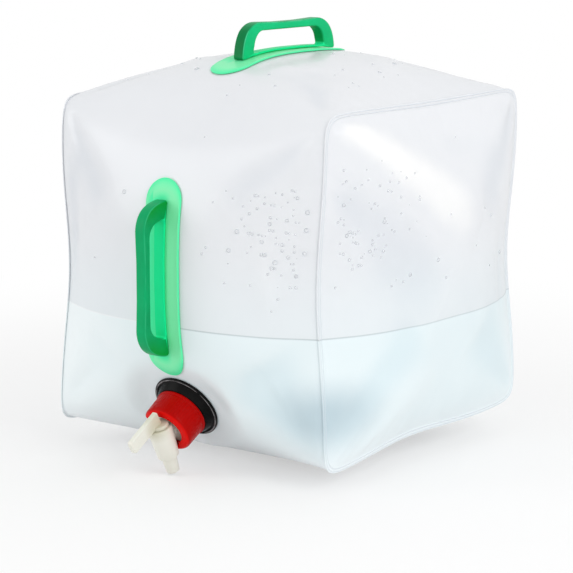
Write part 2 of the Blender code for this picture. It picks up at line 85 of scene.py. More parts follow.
class BagSizes(bpy.types.PropertyGroup):
    """Sizes of the film bag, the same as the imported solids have."""

    width: length("Width", "Between the side seams", 0.278)
    depth: length("Depth", "Between the front and back seams", 0.278)
    height: length("Height", "Between the lower and upper seams", 0.278)
    seam_lift: length("Seam lift", "Height of the lower seams above the floor", 0.022)
    front_bulge: length("Front bulge", "How far the front swells past its seams", 0.0315)
    back_bulge: length("Back bulge", "How far the back swells past its seams", 0.028)
    top_bulge: length("Top bulge", "How far the top swells past its seams", 0.035)
    base_bulge: length("Base bulge", "How far the base would hang below its seams", 0.026)
    side_bulge: length("Side bulge", "How far each side swells past its seams", 0.026)
    draw_across: length("Draw across", "How far the seams draw in sideways at mid length", 0.0084)
    draw_in: length("Draw in", "How far the seams draw in to the middle at mid length", 0.0018)
    crown_power: number("Crown power", "Fullness of the bulges", 2.4)
    corner_power: number("Corner power", "Squareness of the seams' corners", 18)
    top_power: number("Top power", "Squareness of the upper roll", 2.8)
    base_power: number("Base power", "Squareness of the lower roll", 2.6)
    film: length("Film", "Thickness of the film", 0.0008)
    weld_width: length("Weld width", "Width of the weld inside the seam", 0.0035)
    weld_overhang: length("Weld overhang", "Film that stands past the seam", 0.0015)
    weld_ridge: length("Weld ridge", "Height of the weld's pressed lines", 0.0004)
    gap: length("Gap", "Clearance that touching pieces keep", 0.0003)
    pucker: length("Pucker", "Depth of the small puckers beside the welds", 0.0007)
    held: length("Held strip", "Half width of the film that the handles and the neck keep from crumpling", 0.031)
    travel: length("Travel", "How far each side panel slides in", 0.100)
    dry: colour("Dry film", "Film over air", (0.865, 0.882, 0.912))
    # Shaded film is painted shade in the folds' dents, and stretched film is a painted highlight on their ridges; the
    # wet ones likewise over the water.
    shade: colour("Shaded film", "Film in the dents", (0.785, 0.815, 0.858))
    light: colour("Stretched film", "Film on the ridges", (0.99, 0.992, 0.995))
    wet: colour("Wet film", "Film over water", (0.835, 0.925, 0.950))
    wet_shade: colour("Shaded wet film", "Film over water in the dents", (0.750, 0.872, 0.912))
    # The wet film at the left is painted light over the water.
    wet_light: colour("Bright wet film", "Film over water at the left", (0.93, 0.99, 1.0))
    # The foot's colour is painted light that lifts the shade where the film curves under the bag.
    foot: colour("Foot", "Film where it curves under the bag", (0.90, 0.92, 0.95))
    # Painted shade: a blue-grey patch in the dent beside the front right seam.
    pool: colour("Pool", "Film where the water shows deepest, beside the front right seam", (0.50, 0.63, 0.69))
    weld: colour("Weld", "Pressed lines of the welds", (0.62, 0.67, 0.72))


class WaterSizes(bpy.types.PropertyGroup):
    """The water in the bag and the drops on it."""

    level: length("Level", "Height of the water above the floor", 0.125)
    line: length("Line", "Width of the water's edge line", 0.0011)
    margin: length("Margin", "Distance from the film's face to the water", 0.0018)
    drop_radius: length("Drop radius", "Radius of a usual drop", 0.0011)
    large_drop: length("Large drop", "Radius of the large drops on the front", 0.0019)
    large_side_drop: length("Large side drop", "Radius of the large drops on the right side", 0.0017)
    drops: IntProperty(name="Drops", description="Drops on the front and on the right side", default=70)
    seed: IntProperty(name="Seed", description="Seed of the drops' places", default=7)
    body: colour("Water", "Colour of the water", (0.60, 0.82, 0.90))
    edge: colour("Water's edge", "Colour of the edge line", (0.33, 0.40, 0.43))
    bright_edge: colour("Bright edge", "The edge line at the left, where it catches the light", (0.97, 0.99, 1.0))
    drop: colour("Drop", "Dome of a drop", (0.97, 0.98, 0.99))
    # The drop's rim colour is painted shade round the foot of each drop.
    drop_edge_shade: colour("Drop's rim", "Ring where a drop meets the film", (0.47, 0.54, 0.60))


class HandleSizes(bpy.types.PropertyGroup):
    """Sizes of the two green mouldings and the patches under them."""

    pad_length: length("Pad length", "Length of the oval patch", 0.161)
    pad_width: length("Pad width", "Width of the oval patch", 0.0365)
    pad_thickness: length("Pad thickness", "Thickness of the oval patch", 0.0012)
    top_pad: length("Top pad", "Place of the top patch along the bag", -0.0165)
    front_pad: length("Front pad", "Height of the front patch", 0.1637)
    length: length("Length", "Length of the handle", 0.1275)
    width: length("Width", "Width of the handle", 0.0106)
    height: length("Height", "Height of the handle above the patch", 0.0252)
    top_place: length("Top place", "Place of the top handle along the bag", -0.009)
    front_place: length("Front place", "Height of the front handle", 0.1642)
    grip: length("Grip", "Thickness of the grip", 0.0078)
    dip: length("Dip", "Depth of the grip's waist", 0.0016)
    dip_reach: length("Dip reach", "Length of the grip's waist", 0.030)
    leg: length("Leg", "Length of a leg's foot", 0.0150)
    lean: length("Lean", "How far a leg leans in", 0.0050)
    strip: length("Strip", "Thickness of the base strip", 0.0020)
    shoulder: length("Shoulder", "Radius of the shoulders", 0.0235)
    window: length("Window", "Radius of the opening's upper corners", 0.0125)
    foot: length("Foot", "Radius at the feet", 0.002)
    edge: length("Edge", "Radius of the long edges", 0.0017)
    green: colour("Green", "Colour of the mouldings", (0.001, 0.17, 0.045))
    # Foot green is painted shade on the inner faces of the legs, and on the front handle's flanks there.
    foot_shade_green: colour("Foot green", "Colour of the thick feet", (0.001, 0.27, 0.012))
    # This green is for the thinner strip and for painted light on the lit faces.
    bright_green: colour("Bright green", "Thin and edge parts of the mouldings", (0.006, 0.80, 0.31))
    edge_highlight_green: colour("Edge green", "Light that gathers along the mouldings' edges", (0.10, 0.78, 0.40))
    patch: colour("Patch", "Colour of the patches", (0.260, 1.0, 0.52))
    # Deep patch is the rim's deeper green and painted shade under the handle.
    patch_rim_and_shade: colour("Deep patch", "Patch under the handle and at its rim", (0.014, 0.84, 0.36))


class TapSizes(bpy.types.PropertyGroup):
    """Sizes of the neck, the dish, the collar and the tap."""

    seat_forward: length("Seat forward", "Place of the neck's seat", 0.1403)
    seat_height: length("Seat height", "Height of the neck's seat", 0.0545)
    tilt: number("Tilt", "Degrees that the neck points down", 31.4)
    seat_radius: length("Seat radius", "Flat film round the neck", 0.037)
    blend_radius: length("Blend radius", "Where the flat film ends", 0.062)
    neck_radius: length("Neck radius", "Outside of the neck", 0.018)
    neck_length: length("Neck length", "Length of the neck", 0.019)
    thread_pitch: length("Thread pitch", "Rise of the thread in one turn", 0.004)
    thread_start: length("Thread start", "Where the collar's thread starts", 0.0125)
    thread_turns: number("Thread turns", "Turns of the collar's thread", 1.2)
    thread_height: length("Thread height", "Height of the thread", 0.0010)
    dish_radius: length("Dish radius", "Outside of the black dish", 0.030)
    dish_rim: length("Dish rim", "Thickness of the dish's rim", 0.0026)
    dish_groove: length("Dish groove", "Radius of the dish's groove", 0.0275)
    dish_top: length("Dish top", "Radius of the dish's shoulder", 0.0235)
    dish_height: length("Dish height", "Height of the dish", 0.0083)
    collar_radius: length("Collar radius", "Outside of the collar", 0.022)
    collar_flare: length("Collar flare", "Flare of the collar's skirt", 0.0010)
    collar_front: length("Collar front", "Where the collar ends", 0.0312)
    collar_mouth: length("Collar mouth", "Radius of the collar's mouth", 0.0174)
    collar_nose: length("Collar nose", "Radius of the collar's front edge", 0.0035)
    notch_floor: length("Notch floor", "Height of the rim in the notch above the disc", 0.0010)
    notch_start: number("Notch start", "Degrees from X where the notch starts", -97)
    notch_end: number("Notch end", "Degrees from X where the notch ends", -200)
    lip_radius: length("Lip radius", "Radius of the collar's inward lip", 0.0142)
    lip_depth: length("Lip depth", "Thickness of the collar's inward lip", 0.0026)
    rib: length("Rib", "Height of the collar's ribs", 0.00009)
    ribs: IntProperty(name="Ribs", description="Ribs round the collar", default=56)
    gasket: length("Gasket", "Thickness of the gasket", 0.0016)
    disc_radius: length("Disc radius", "Outside of the tap's disc", 0.0186)
    disc: length("Disc", "Thickness of the tap's disc", 0.0026)
    inlet: length("Inlet", "Outside of the inlet tube", 0.0075)
    inlet_bore: length("Inlet bore", "Bore of the inlet tube", 0.0048)
    inlet_port: length("Inlet port", "Radius of the port into the barrel", 0.0040)
    key_distance: length("Key distance", "From the seat to the key's axis", 0.0372)
    key_tilt: number("Key tilt", "Degrees that the key leans forward", 22.5)
    barrel_top: length("Barrel top", "Barrel above its centre", 0.0088)
    barrel_bottom: length("Barrel bottom", "Barrel below its centre", 0.0195)
    barrel_top_radius: length("Barrel top radius", "Outside of the barrel's top", 0.0107)
    barrel_bottom_radius: length("Barrel bottom radius", "Outside of the barrel's foot", 0.0089)
    key_radius: length("Key radius", "Key's radius at the barrel's top", 0.0072)
    key_taper: length("Key taper", "How much the key narrows down the barrel", 0.0008)
    key_play: length("Key play", "Clearance round the key", 0.00025)
    key_bore: length("Key bore", "Bore of the key", 0.004)
    key_bore_top: length("Key bore top", "Where the key's bore ends", 0.004)
    port: length("Port", "Radius of the key's side port", 0.0034)
    spout_drop: length("Spout drop", "End of the spout below the key's centre", 0.0344)
    spout_radius: length("Spout radius", "Outside of the spout's end", 0.0054)
    head_radius: length("Head radius", "Radius of the key's head", 0.0082)
    head: length("Head", "Thickness of the key's head", 0.003)
    seal_height: length("Seal height", "Height of the key's groove", 0.0066)
    seal: length("Seal", "Radius of the groove's ring section", 0.0008)
    paddle_length: length("Paddle length", "Length of the paddle", 0.037)
    paddle_height: length("Paddle height", "Height of the paddle", 0.0118)
    paddle_thickness: length("Paddle thickness", "Thickness of the paddle", 0.0048)
    paddle_lift: length("Paddle lift", "Paddle above the key's centre", 0.0171)
    paddle_corner: length("Paddle corner", "Radius of the paddle's end", 0.0022)
    paddle_edge: length("Paddle edge", "Radius of the paddle's long edges", 0.0011)
    red: colour("Red", "Colour of the collar", (0.44, 0.002, 0.001))
    # Deep red is painted shade between the ribs, near the skirt's step and on the thread.
    rib_shade_red: colour("Deep red", "Collar between its ribs", (0.30, 0.001, 0.001))
    black: colour("Black", "Colour of the dish and the neck", (0.004, 0.004, 0.004))
    # The grey of the groove's lip is a painted highlight.
    lip_highlight_grey: colour("Worn black", "Rubbed lip of the dish's groove", (0.42, 0.42, 0.43))
    ivory: colour("Ivory", "Colour of the tap", (0.82, 0.805, 0.72))
    # Deep ivory is the thick parts' deeper colour and painted shade where the key meets the barrel.
    shaded_thick_ivory: colour("Deep ivory", "Thick parts of the tap", (0.62, 0.59, 0.45))
    rubber: colour("Rubber", "Colour of the seals", (0.05, 0.05, 0.052))


sensor_width = 36


class StageSizes(bpy.types.PropertyGroup):
    """Lamps, world and camera."""

    sky: number("Sky", "Strength of the even light all round", 0.74)
    key: number("Key lamp", "Power of the lamp at the right", 11.5)
    fill: number("Fill lamp", "Power of the lamp at the front left", 11)
    top: number("Top lamp", "Power of the lamp above", 2.5)
    floor: colour("Floor", "Colour of the floor", (0.93, 0.93, 0.93))
    azimuth: number("Azimuth", "Degrees that the camera stands round to the right", 37.516)
    elevation: number("Elevation", "Degrees that the camera looks down", 10.49)
    distance: length("Distance", "From the camera to its aim", 1.91598)
    aim_right: length("Aim right", "Aim beside the bag's middle, to the right in the picture", -0.00429)
    aim_up: length("Aim up", "Aim above the bag's middle, upwards in the picture", -0.02811)
    lens: number("Lens", "Focal length in millimetres on a 36 mm sensor", 140.2)


class CarrierSettings(bpy.types.PropertyGroup):
    """All sizes and colours of the carrier."""

    bag: PointerProperty(type=BagSizes)
    water: PointerProperty(type=WaterSizes)
    handle: PointerProperty(type=HandleSizes)
    tap: PointerProperty(type=TapSizes)
    stage: PointerProperty(type=StageSizes)


def carrier():
    """The scene's settings."""
    return bpy.context.scene.water_carrier


class Value:
    """A socket's number. Arithmetic on it adds Math nodes to its tree."""

    def __init__(self, nodes, socket):
        self.nodes = nodes
        self.socket = socket

    def joined(self, operation, first, second=0.0):
        """A Math node on two numbers."""
        return self.nodes.node("ShaderNodeMath", {"operation": operation}, {0: first, 1: second})

    def __add__(self, other):
        return self.joined("ADD", self, other)

    def __radd__(self, other):
        return self.joined("ADD", other, self)

    def __sub__(self, other):
        return self.joined("SUBTRACT", self, other)

    def __rsub__(self, other):
        return self.joined("SUBTRACT", other, self)

    def __mul__(self, other):
        return self.joined("MULTIPLY", self, other)

    def __rmul__(self, other):
        return self.joined("MULTIPLY", other, self)

    def __pow__(self, other):
        return self.joined("POWER", self, other)

    def __abs__(self):
        return self.joined("ABSOLUTE", self)

    def held(self):
        """The number kept between 0 and 1."""
        return self.joined("MINIMUM", self.joined("MAXIMUM", self, 0.0), 1.0)


class Nodes:
    """A node tree, written as Python expressions on its sockets."""

    def __init__(self, tree):
        self.tree = tree

    def node(self, kind, settings=None, sockets=None, output=0):
        """A node of a kind, with its settings first and then the values or links of its sockets."""
        made = self.tree.nodes.new(kind)
        for name, value in (settings or {}).items():
            setattr(made, name, value)
        for name, value in (sockets or {}).items():
            self.feed(made.inputs[name], value)
        return Value(self, made.outputs[output])

    def feed(self, socket, value):
        """Link a Value to a socket, or set the socket to a plain value."""
        if isinstance(value, Value):
            self.tree.links.new(value.socket, socket)
        else:
            socket.default_value = value

    def place(self, axis):
        """One of the piece's own coordinates, in metres."""
        where = self.node("ShaderNodeTexCoord", output="Object")
        return self.node("ShaderNodeSeparateXYZ", sockets={0: where}, output=axis)

    def noise(self, scale, detail, roughness=0.5, stretch=(1, 1, 1)):
        """Cloudy noise from 0 to 1 on the piece's own coordinates."""
        where = self.node("ShaderNodeTexCoord", output="Object")
        scaled = self.node("ShaderNodeMapping", sockets={"Vector": where, "Scale": stretch})
        return self.node(
            "ShaderNodeTexNoise",
            sockets={"Vector": scaled, "Scale": scale, "Detail": detail, "Roughness": roughness},
        )

    def distance(self, centre, scale=(1, 1, 1)):
        """How far a point of the piece is from a centre, with each axis scaled."""
        where = self.node("ShaderNodeTexCoord", output="Object")
        offset = self.node("ShaderNodeVectorMath", {"operation": "SUBTRACT"}, {0: where, 1: centre})
        scaled = self.node("ShaderNodeVectorMath", {"operation": "MULTIPLY"}, {0: offset, 1: scale})
        return self.node("ShaderNodeVectorMath", {"operation": "LENGTH"}, {0: scaled}, output="Value")

    def painted(self, name):
        """A number stored on the piece's points."""
        return self.node("ShaderNodeAttribute", {"attribute_name": name}, output="Fac")

    def ramp(self, value, low, high):
        """A smooth step from 0 at low to 1 at high."""
        return self.node(
            "ShaderNodeMapRange",
            {"interpolation_type": "SMOOTHSTEP"},
            {"Value": value, "From Min": low, "From Max": high},
        )

    def mix(self, share, first, second):
        """A colour between two colours."""
        first, second = (end if isinstance(end, Value) else (*end, 1) for end in (first, second))
        return self.node("ShaderNodeMix", {"data_type": "RGBA"}, {0: share, 6: first, 7: second}, output=2)

    def bump(self, height, distance, strength):
        """The surface's normal, turned by a height in steps of a distance."""
        return self.node("ShaderNodeBump", sockets={"Height": height, "Distance": distance, "Strength": strength})

    def backdrop(self):
        """1 on rays that show the backdrop: from the camera, off gloss and through clear pieces."""
        camera, gloss, clear = (
            self.node("ShaderNodeLightPath", output=f"Is {kind} Ray") for kind in ("Camera", "Glossy", "Transmission")
        )
        return (camera + gloss + clear).held()


class Finish(Nodes):
    """A material whose shader's sockets are fed with expressions."""

    def __init__(self, name, clear=False, **fixed):
        self.material = bpy.data.materials.new(name)
        self.material.use_nodes = True
        if clear:
            self.material.surface_render_method = "BLENDED"
        super().__init__(self.material.node_tree)
        self.shader = self.tree.nodes["Principled BSDF"]
        self.give(**fixed)

    def give(self, **sockets):
        """Feed the shader's own sockets."""
        for name, value in sockets.items():
            self.feed(self.shader.inputs[name.replace("_", " ")], value)
        return self.material


def grid_faces(rows, columns, wrap_rows=False, wrap_columns=True):
    """Quads of a grid of points, row after row; a wrapped direction joins its last line to its first."""
    row = np.arange(rows if wrap_rows else rows - 1)[:, None]
    column = np.arange(columns if wrap_columns else columns - 1)[None, :]
    next_row = (row + 1) % rows
    next_column = (column + 1) % columns
    corners = (
        row * columns + column, row * columns + next_column,
        next_row * columns + next_column, next_row * columns + column,
    )
    return np.stack(np.broadcast_arrays(*corners), -1).reshape(-1, 4)


def pole_faces(pole, first, columns, last):
    """Triangles from a pole point to the loop that starts at first: a grid's last loop, or else its first."""
    column = np.arange(columns)
    ring = np.stack([first + column, first + (column + 1) % columns], -1)
    ring = ring if last else ring[:, ::-1]
    return np.column_stack([np.full(columns, pole), ring])


def closed_faces(rows, columns):
    """Faces of a grid of loops and of its two ends, which meet in the two points that follow the grid's."""
    end = rows * columns
    return (grid_faces(rows, columns), pole_faces(end, 0, columns, False),
            pole_faces(end + 1, end - columns, columns, True))


def built(name, points, *faces, painted=None):
    """A mesh from points and groups of faces, turned so that its faces point outwards.

    The turn is the sign of the sum over all faces of centroid times area normal, taken from the mean point,
    which is the volume for a closed mesh.
    """
    points = np.asarray(points, float).reshape(-1, 3)
    offset = points - points.mean(0)
    volume = 0.0
    for group in faces:
        corner = offset[group]
        normal = np.cross(corner[:, 2] - corner[:, 0], corner[:, -1] - corner[:, 1])
        if group.shape[1] == 3:
            normal = np.cross(corner[:, 1] - corner[:, 0], corner[:, 2] - corner[:, 0])
        volume += float((corner.mean(1) * normal).sum())
    listed = [face for group in faces for face in (group if volume > 0 else group[:, ::-1]).tolist()]
    mesh = bpy.data.meshes.new(name)
    mesh.from_pydata(points.tolist(), [], listed)
    for label, values in (painted or {}).items():
        layer = mesh.attributes.new(label, "FLOAT", "POINT")
        layer.data.foreach_set("value", np.asarray(values, np.float32).ravel())
    mesh.update()
    return mesh


def coated(mesh, finish):
    """Give a mesh one material."""
    mesh.materials.clear()
    mesh.materials.append(finish)


def smoothed(made, sharp=35):
    """Shade an object smooth, with sharp edges above an angle in degrees."""
    made.data.shade_smooth()
    made.data.set_sharp_from_angle(angle=math.radians(sharp))
    return made


def shown(name, mesh, finish, sharp=40):
    """An object for a mesh, with smooth faces between sharp edges and one material."""
    made = bpy.data.objects.new(name, mesh)
    bpy.context.scene.collection.objects.link(made)
    coated(mesh, finish)
    return smoothed(made, sharp)


def walled(made, thickness):
    """Give a sheet its wall, inwards from its face, with sharp cut edges."""
    wall = made.modifiers.new("wall", "SOLIDIFY")
    wall.thickness = thickness
    wall.offset = -1
    settled(made)
    made.data.set_sharp_from_angle(angle=math.radians(60))
    return made


def settled(made):
    """Make what the modifiers show the object's own mesh."""
    view = bpy.context.evaluated_depsgraph_get()
    mesh = bpy.data.meshes.new_from_object(made.evaluated_get(view))
    if not mesh.polygons:
        raise RuntimeError(made.name + " has no faces left")
    made.modifiers.clear()
    made.data = mesh
    return made


def combined(made, tool, operation):
    """Cut a piece with a tool, or join the tool to it, and drop the tool."""
    step = made.modifiers.new("shape", "BOOLEAN")
    step.operation = operation
    step.solver = "MANIFOLD"
    step.object = tool
    settled(made)
    bpy.data.objects.remove(tool, do_unlink=True)
    return made


def fitted(made, body, slot, *nodes):
    """Let a piece ride on its body and stand for its nodes, whose imported solids it hides. The slot is not used."""
    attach(made, body)
    if nodes:
        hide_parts(*nodes)
    return made


def bag_middle(bag):
    """The middle of the box between the seams."""
    return np.array([0, 0, bag.seam_lift + bag.height / 2])


def eased(share):
    """A smooth step from 0 to 1: 3 times the share squared less 2 times its cube, with the share kept to 0 and 1."""
    share = np.clip(share, 0, 1)
    return share * share * (3 - 2 * share)


def softened(made, bag, side, joint=None):
    """Give a piece its own copy of its mesh. The sizes of a squeeze beside the strip that the handles hold are worked
    out from the bag, but the piece is not flattened."""
    half = bag.width / 2
    still = half if joint else bag.held
    keep = (half - bag.travel - bag.held) / (half - bag.held)
    side * still
    bag_middle(bag)[2]
    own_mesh(made)
    return made


def trimmed(mesh, closed, *planes):
    """A copy of a mesh without what lies beyond planes, each a point and an outward normal, with its cuts filled."""
    work = bmesh.new()
    work.from_mesh(mesh)
    for spot, outward in planes:
        cut = bmesh.ops.bisect_plane(
            work, geom=work.verts[:] + work.edges[:] + work.faces[:], plane_co=spot, plane_no=outward, clear_outer=True
        )
        if closed:
            edges = [part for part in cut["geom_cut"] if isinstance(part, bmesh.types.BMEdge)]
            bmesh.ops.edgeloop_fill(work, edges=edges)
            bmesh.ops.triangulate(work, faces=[face for face in work.faces if len(face.verts) > 4])
    part = mesh.copy()
    work.to_mesh(part)
    work.free()
    return part


sides = (("left", -1), ("middle", 0), ("right", 1))


def strips_of(mesh, bag, closed):
    """The mesh cut by two upright planes into the strip that the handles hold and the part at each side of it."""
    for name, side in sides:
        walls = ((-1, -1), (1, 1)) if side == 0 else ((side, -side),)
        planes = [((wall * bag.held, 0, 0), (outward, 0, 0)) for wall, outward in walls]
        yield name, side, trimmed(mesh, closed, *planes)


def neck_line(tap):
    """The middle of the neck's seat, and the unit vector from it out along the neck."""
    tilt = math.radians(tap.tilt)
    return np.array([0, -tap.seat_forward, tap.seat_height]), np.array([0, -math.cos(tilt), -math.sin(tilt)])


def tap_matrix(tap, key=False):
    """The neck's frame, or the key's: Z along its axis, X across the bag."""
    seat, axis = neck_line(tap)
    if key:
        return Matrix.Translation(seat + axis * tap.key_distance) @ Matrix.Rotation(math.radians(tap.key_tilt), 4, "X")
    return Matrix.Translation(seat) @ Matrix.Rotation(math.pi / 2 + math.radians(tap.tilt), 4, "X")


def moved(points, matrix):
    """Points carried into a frame."""
    turn = np.array(matrix.to_3x3())
    return points @ turn.T + np.array(matrix.translation)


def seated(points, tap):
    """Film points drawn on to the neck's seat plane: fully inside the seat radius, smoothly less to the blend
    radius."""
    seat, axis = neck_line(tap)
    offset = points - seat
    height = offset @ axis
    radial = np.linalg.norm(offset - height[..., None] * axis, axis=-1)
    hold = eased((tap.blend_radius - radial) / (tap.blend_radius - tap.seat_radius)) * (height > -tap.blend_radius)
    return points - (height * hold)[..., None] * axis


def film_points(angle, across, bag, tap):
    """Points of the film band. Angle goes round from the front over the top, across from -1 to 1 at the seams.

    Each section round the bag is a superellipse, |forward / half depth| to a power plus |rise / half height|
    to that power is 1. The half sizes grow from the seams to the middle by 1 - |across| to the crown power,
    the power falls from the seams' to the rolls', and the section is cut flat where the bag stands.
    """
    fill = 1 - np.abs(across) ** bag.crown_power
    forward = np.cos(angle)
    rise = np.sin(angle)
    half_depth = bag.depth / 2 + fill * np.where(forward > 0, bag.front_bulge, bag.back_bulge)
    half_height = bag.height / 2 + fill * np.where(rise > 0, bag.top_bulge, bag.base_bulge)
    roll = np.where(rise > 0, bag.top_power, bag.base_power)
    power = 1 / ((1 - fill) / bag.corner_power + fill / roll)
    reach = (np.abs(forward / half_depth) ** power + np.abs(rise / half_height) ** power) ** (-1 / power)
    side_share = np.cos(2 * angle) ** 2
    reach = reach - bag.draw_in * (1 - fill) * side_share
    half_width = bag.width / 2 - bag.draw_across * side_share
    height = np.maximum(bag.seam_lift + bag.height / 2 + reach * rise, 0)
    return seated(np.stack(np.broadcast_arrays(across * half_width, -reach * forward, height), -1), tap)


# Each corner is its side in x, y and z, and how far it moves.
corner_shifts = [
    ((1, -1, -1), (0, 0, -0.0065)),
    ((1, 1, -1), (0, 0, 0.0070)),
    ((1, 1, 1), (-0.002, 0, 0.002)),
    ((-1, -1, 1), (0.006, 0, 0)),
    ((-1, -1, -1), (-0.004, 0, -0.003)),
]


def settled_corners(points, bag):
    """Points carried along with the bag's corners, which sag or lift a little.

    A corner's share is the product of the squares of x, y and rise over their half sizes, on its own side.
    """
    middle = bag_middle(bag)
    half = np.array([bag.width, bag.depth, bag.height]) / 2
    moved_on = points.copy()
    for corner, shift in corner_shifts:
        share = np.clip((points - middle) / half * np.array(corner), 0, 1.1) ** 2
        moved_on += share.prod(-1)[..., None] * np.array(shift)
    moved_on[..., 2] = np.maximum(moved_on[..., 2], 0)
    return moved_on


def around_angles(per_side):
    """Angles round the band, closer together at the corners: a sine share of 0.8 with an even share of 0.2."""
    share = 2 * np.arange(per_side) / per_side - 1
    turn = 0.8 * np.sin(np.pi / 2 * share) + 0.2 * share
    return (np.pi / 2 * np.arange(4)[:, None] + np.pi / 4 * turn).ravel()


def side_rows(side, shares, edges, angles, bag, tap):
    """Rows of loops of a side sheet, from past its seam to its middle.

    The weld rows stand out from the seam by each edge distance. The others scale the innermost weld row to
    the middle by share, and swell by 1 - share to the crown power.
    """
    middle = bag_middle(bag)
    seam = film_points(angles, np.full_like(angles, float(side)), bag, tap)
    flat = (seam - middle) * np.array([0, 1, 1])
    far = np.linalg.norm(flat, axis=-1, keepdims=True)
    rim = middle + flat / far * (far + np.asarray(edges)[:, None, None])
    rim[..., 0] = seam[:, 0] + side * bag.gap
    inner = rim[-1]
    share = np.asarray(shares)[:, None]
    rows = middle + (inner - middle) * share[..., None]
    crown = side * (bag.width / 2 + bag.side_bulge)
    rows[..., 0] = inner[:, 0] + (crown - inner[:, 0]) * (1 - share ** bag.crown_power)
    return np.concatenate([rim, rows])


def grid_normals(points, centre):
    """Outward unit normals of a grid of loops: the cross product of the steps along and round it, turned over
    where most of them point towards the centre."""
    along = np.gradient(points, axis=0)
    around = np.roll(points, -1, axis=1) - np.roll(points, 1, axis=1)
    normal = np.cross(around, along)
    normal /= np.maximum(np.linalg.norm(normal, axis=-1, keepdims=True), 1e-12)
    return normal * np.sign(((points - centre) * normal).sum())


def fold_relief(points, folds):
    """Height of the soft folds: each is a bell curve across its line, which widens from the line's start to its
    end and fades at both ends by the fourth power."""
    relief = np.zeros(points.shape[:-1])
    for start, end, width, height in folds:
        start, run = np.array(start), np.array(end) - np.array(start)
        share = np.clip((points - start) @ run / (run @ run), 0, 1)
        distance = np.linalg.norm(points - start - share[..., None] * run, axis=-1)
        spread = width * (0.30 + 1.05 * share)
        relief += height * np.exp(-((distance / spread) ** 2)) * (1 - (2 * share - 1) ** 4)
    return relief


def pucker_relief(run, distance, depth, seed):
    """Small puckers beside a weld: three sine waves along it, each bent by a slower one, which grow within 6 mm of
    it and fade over 16 mm."""
    rng = np.random.default_rng(seed)
    wave = np.zeros(np.broadcast(run, distance).shape)
    for pitch in (0.013, 0.021, 0.034):
        shift = rng.uniform(0, 2 * np.pi)
        wave = wave + np.sin(2 * np.pi * run / pitch + shift + 1.6 * np.sin(run / 0.05 + shift))
    return depth * wave / 3 * (1 - np.exp(-((distance / 0.006) ** 2))) * np.exp(-distance / 0.016)


def loop_length(points):
    """How far round its loop each point lies, in metres."""
    step = np.linalg.norm(np.roll(points, -1, axis=-2) - points, axis=-1)
    return np.cumsum(step, axis=-1) - step


# Each fold is a start, an end, a width and a height; a fold below 0 is a dent.
front_folds = [
    ((-0.132, -0.142, 0.288), (-0.070, -0.166, 0.215), 0.016, -0.0026),
    ((0.130, -0.142, 0.286), (0.060, -0.166, 0.225), 0.014, -0.0018),
    ((-0.130, -0.146, 0.040), (-0.070, -0.164, 0.105), 0.018, -0.0034),
    ((0.128, -0.150, 0.040), (0.088, -0.166, 0.105), 0.024, -0.0050),
    ((0.060, -0.160, 0.060), (0.100, -0.166, 0.080), 0.022, -0.0022),
    ((-0.122, -0.152, 0.135), (-0.124, -0.150, 0.262), 0.016, -0.0030),
    ((-0.120, -0.156, 0.100), (-0.100, -0.160, 0.070), 0.022, 0.0016),
    ((0.095, -0.160, 0.130), (0.100, -0.160, 0.250), 0.018, 0.0012),
    ((-0.028, -0.165, 0.090), (-0.090, -0.160, 0.045), 0.010, 0.0012),
    ((0.030, -0.165, 0.080), (0.080, -0.158, 0.035), 0.010, 0.0014),
]
top_folds = [
    ((-0.128, -0.130, 0.303), (-0.060, -0.060, 0.328), 0.016, -0.0024),
    ((0.128, -0.128, 0.303), (0.060, -0.060, 0.328), 0.016, -0.0026),
    ((0.128, 0.128, 0.303), (0.060, 0.060, 0.328), 0.016, -0.0024),
    ((-0.128, 0.128, 0.303), (-0.060, 0.060, 0.328), 0.016, -0.0024),
    ((0.030, -0.060, 0.330), (0.105, -0.090, 0.318), 0.010, 0.0010),
    ((0.030, 0.050, 0.330), (0.100, 0.020, 0.322), 0.009, 0.0010),
    ((-0.030, -0.060, 0.330), (-0.100, -0.030, 0.322), 0.009, 0.0010),
]
back_folds = [
    ((-0.130, 0.142, 0.288), (-0.060, 0.164, 0.215), 0.016, -0.0026),
    ((0.130, 0.142, 0.288), (0.060, 0.164, 0.215), 0.016, -0.0026),
    ((-0.128, 0.146, 0.040), (-0.070, 0.162, 0.105), 0.020, -0.0036),
    ((0.128, 0.146, 0.040), (0.070, 0.162, 0.105), 0.020, -0.0036),
]
side_folds = [
    ((0.137, -0.164, 0.317), (0.164, 0.045, 0.196), 0.023, 0.0046),
    ((0.140, -0.140, 0.250), (0.164, -0.010, 0.140), 0.030, -0.0026),
    ((0.150, -0.100, 0.298), (0.164, 0.090, 0.255), 0.014, -0.0016),
    ((0.140, -0.134, 0.046), (0.166, -0.040, 0.122), 0.020, -0.0036),
    ((0.140, -0.105, 0.028), (0.166, -0.010, 0.080), 0.014, 0.0016),
    ((0.140, 0.132, 0.290), (0.166, 0.050, 0.206), 0.018, -0.0026),
    ((0.140, 0.134, 0.034), (0.166, 0.046, 0.110), 0.020, -0.0034),
    ((0.150, 0.094, 0.110), (0.150, 0.098, 0.220), 0.016, -0.0012),
]
left_folds = [((-a[0], a[1], a[2]), (-b[0], b[1], b[2]), width, height) for a, b, width, height in side_folds[1:]]
weld_rows = 21
inner_rows = weld_rows + 3
weld_fade = 0.012
full_shading_relief = 0.004


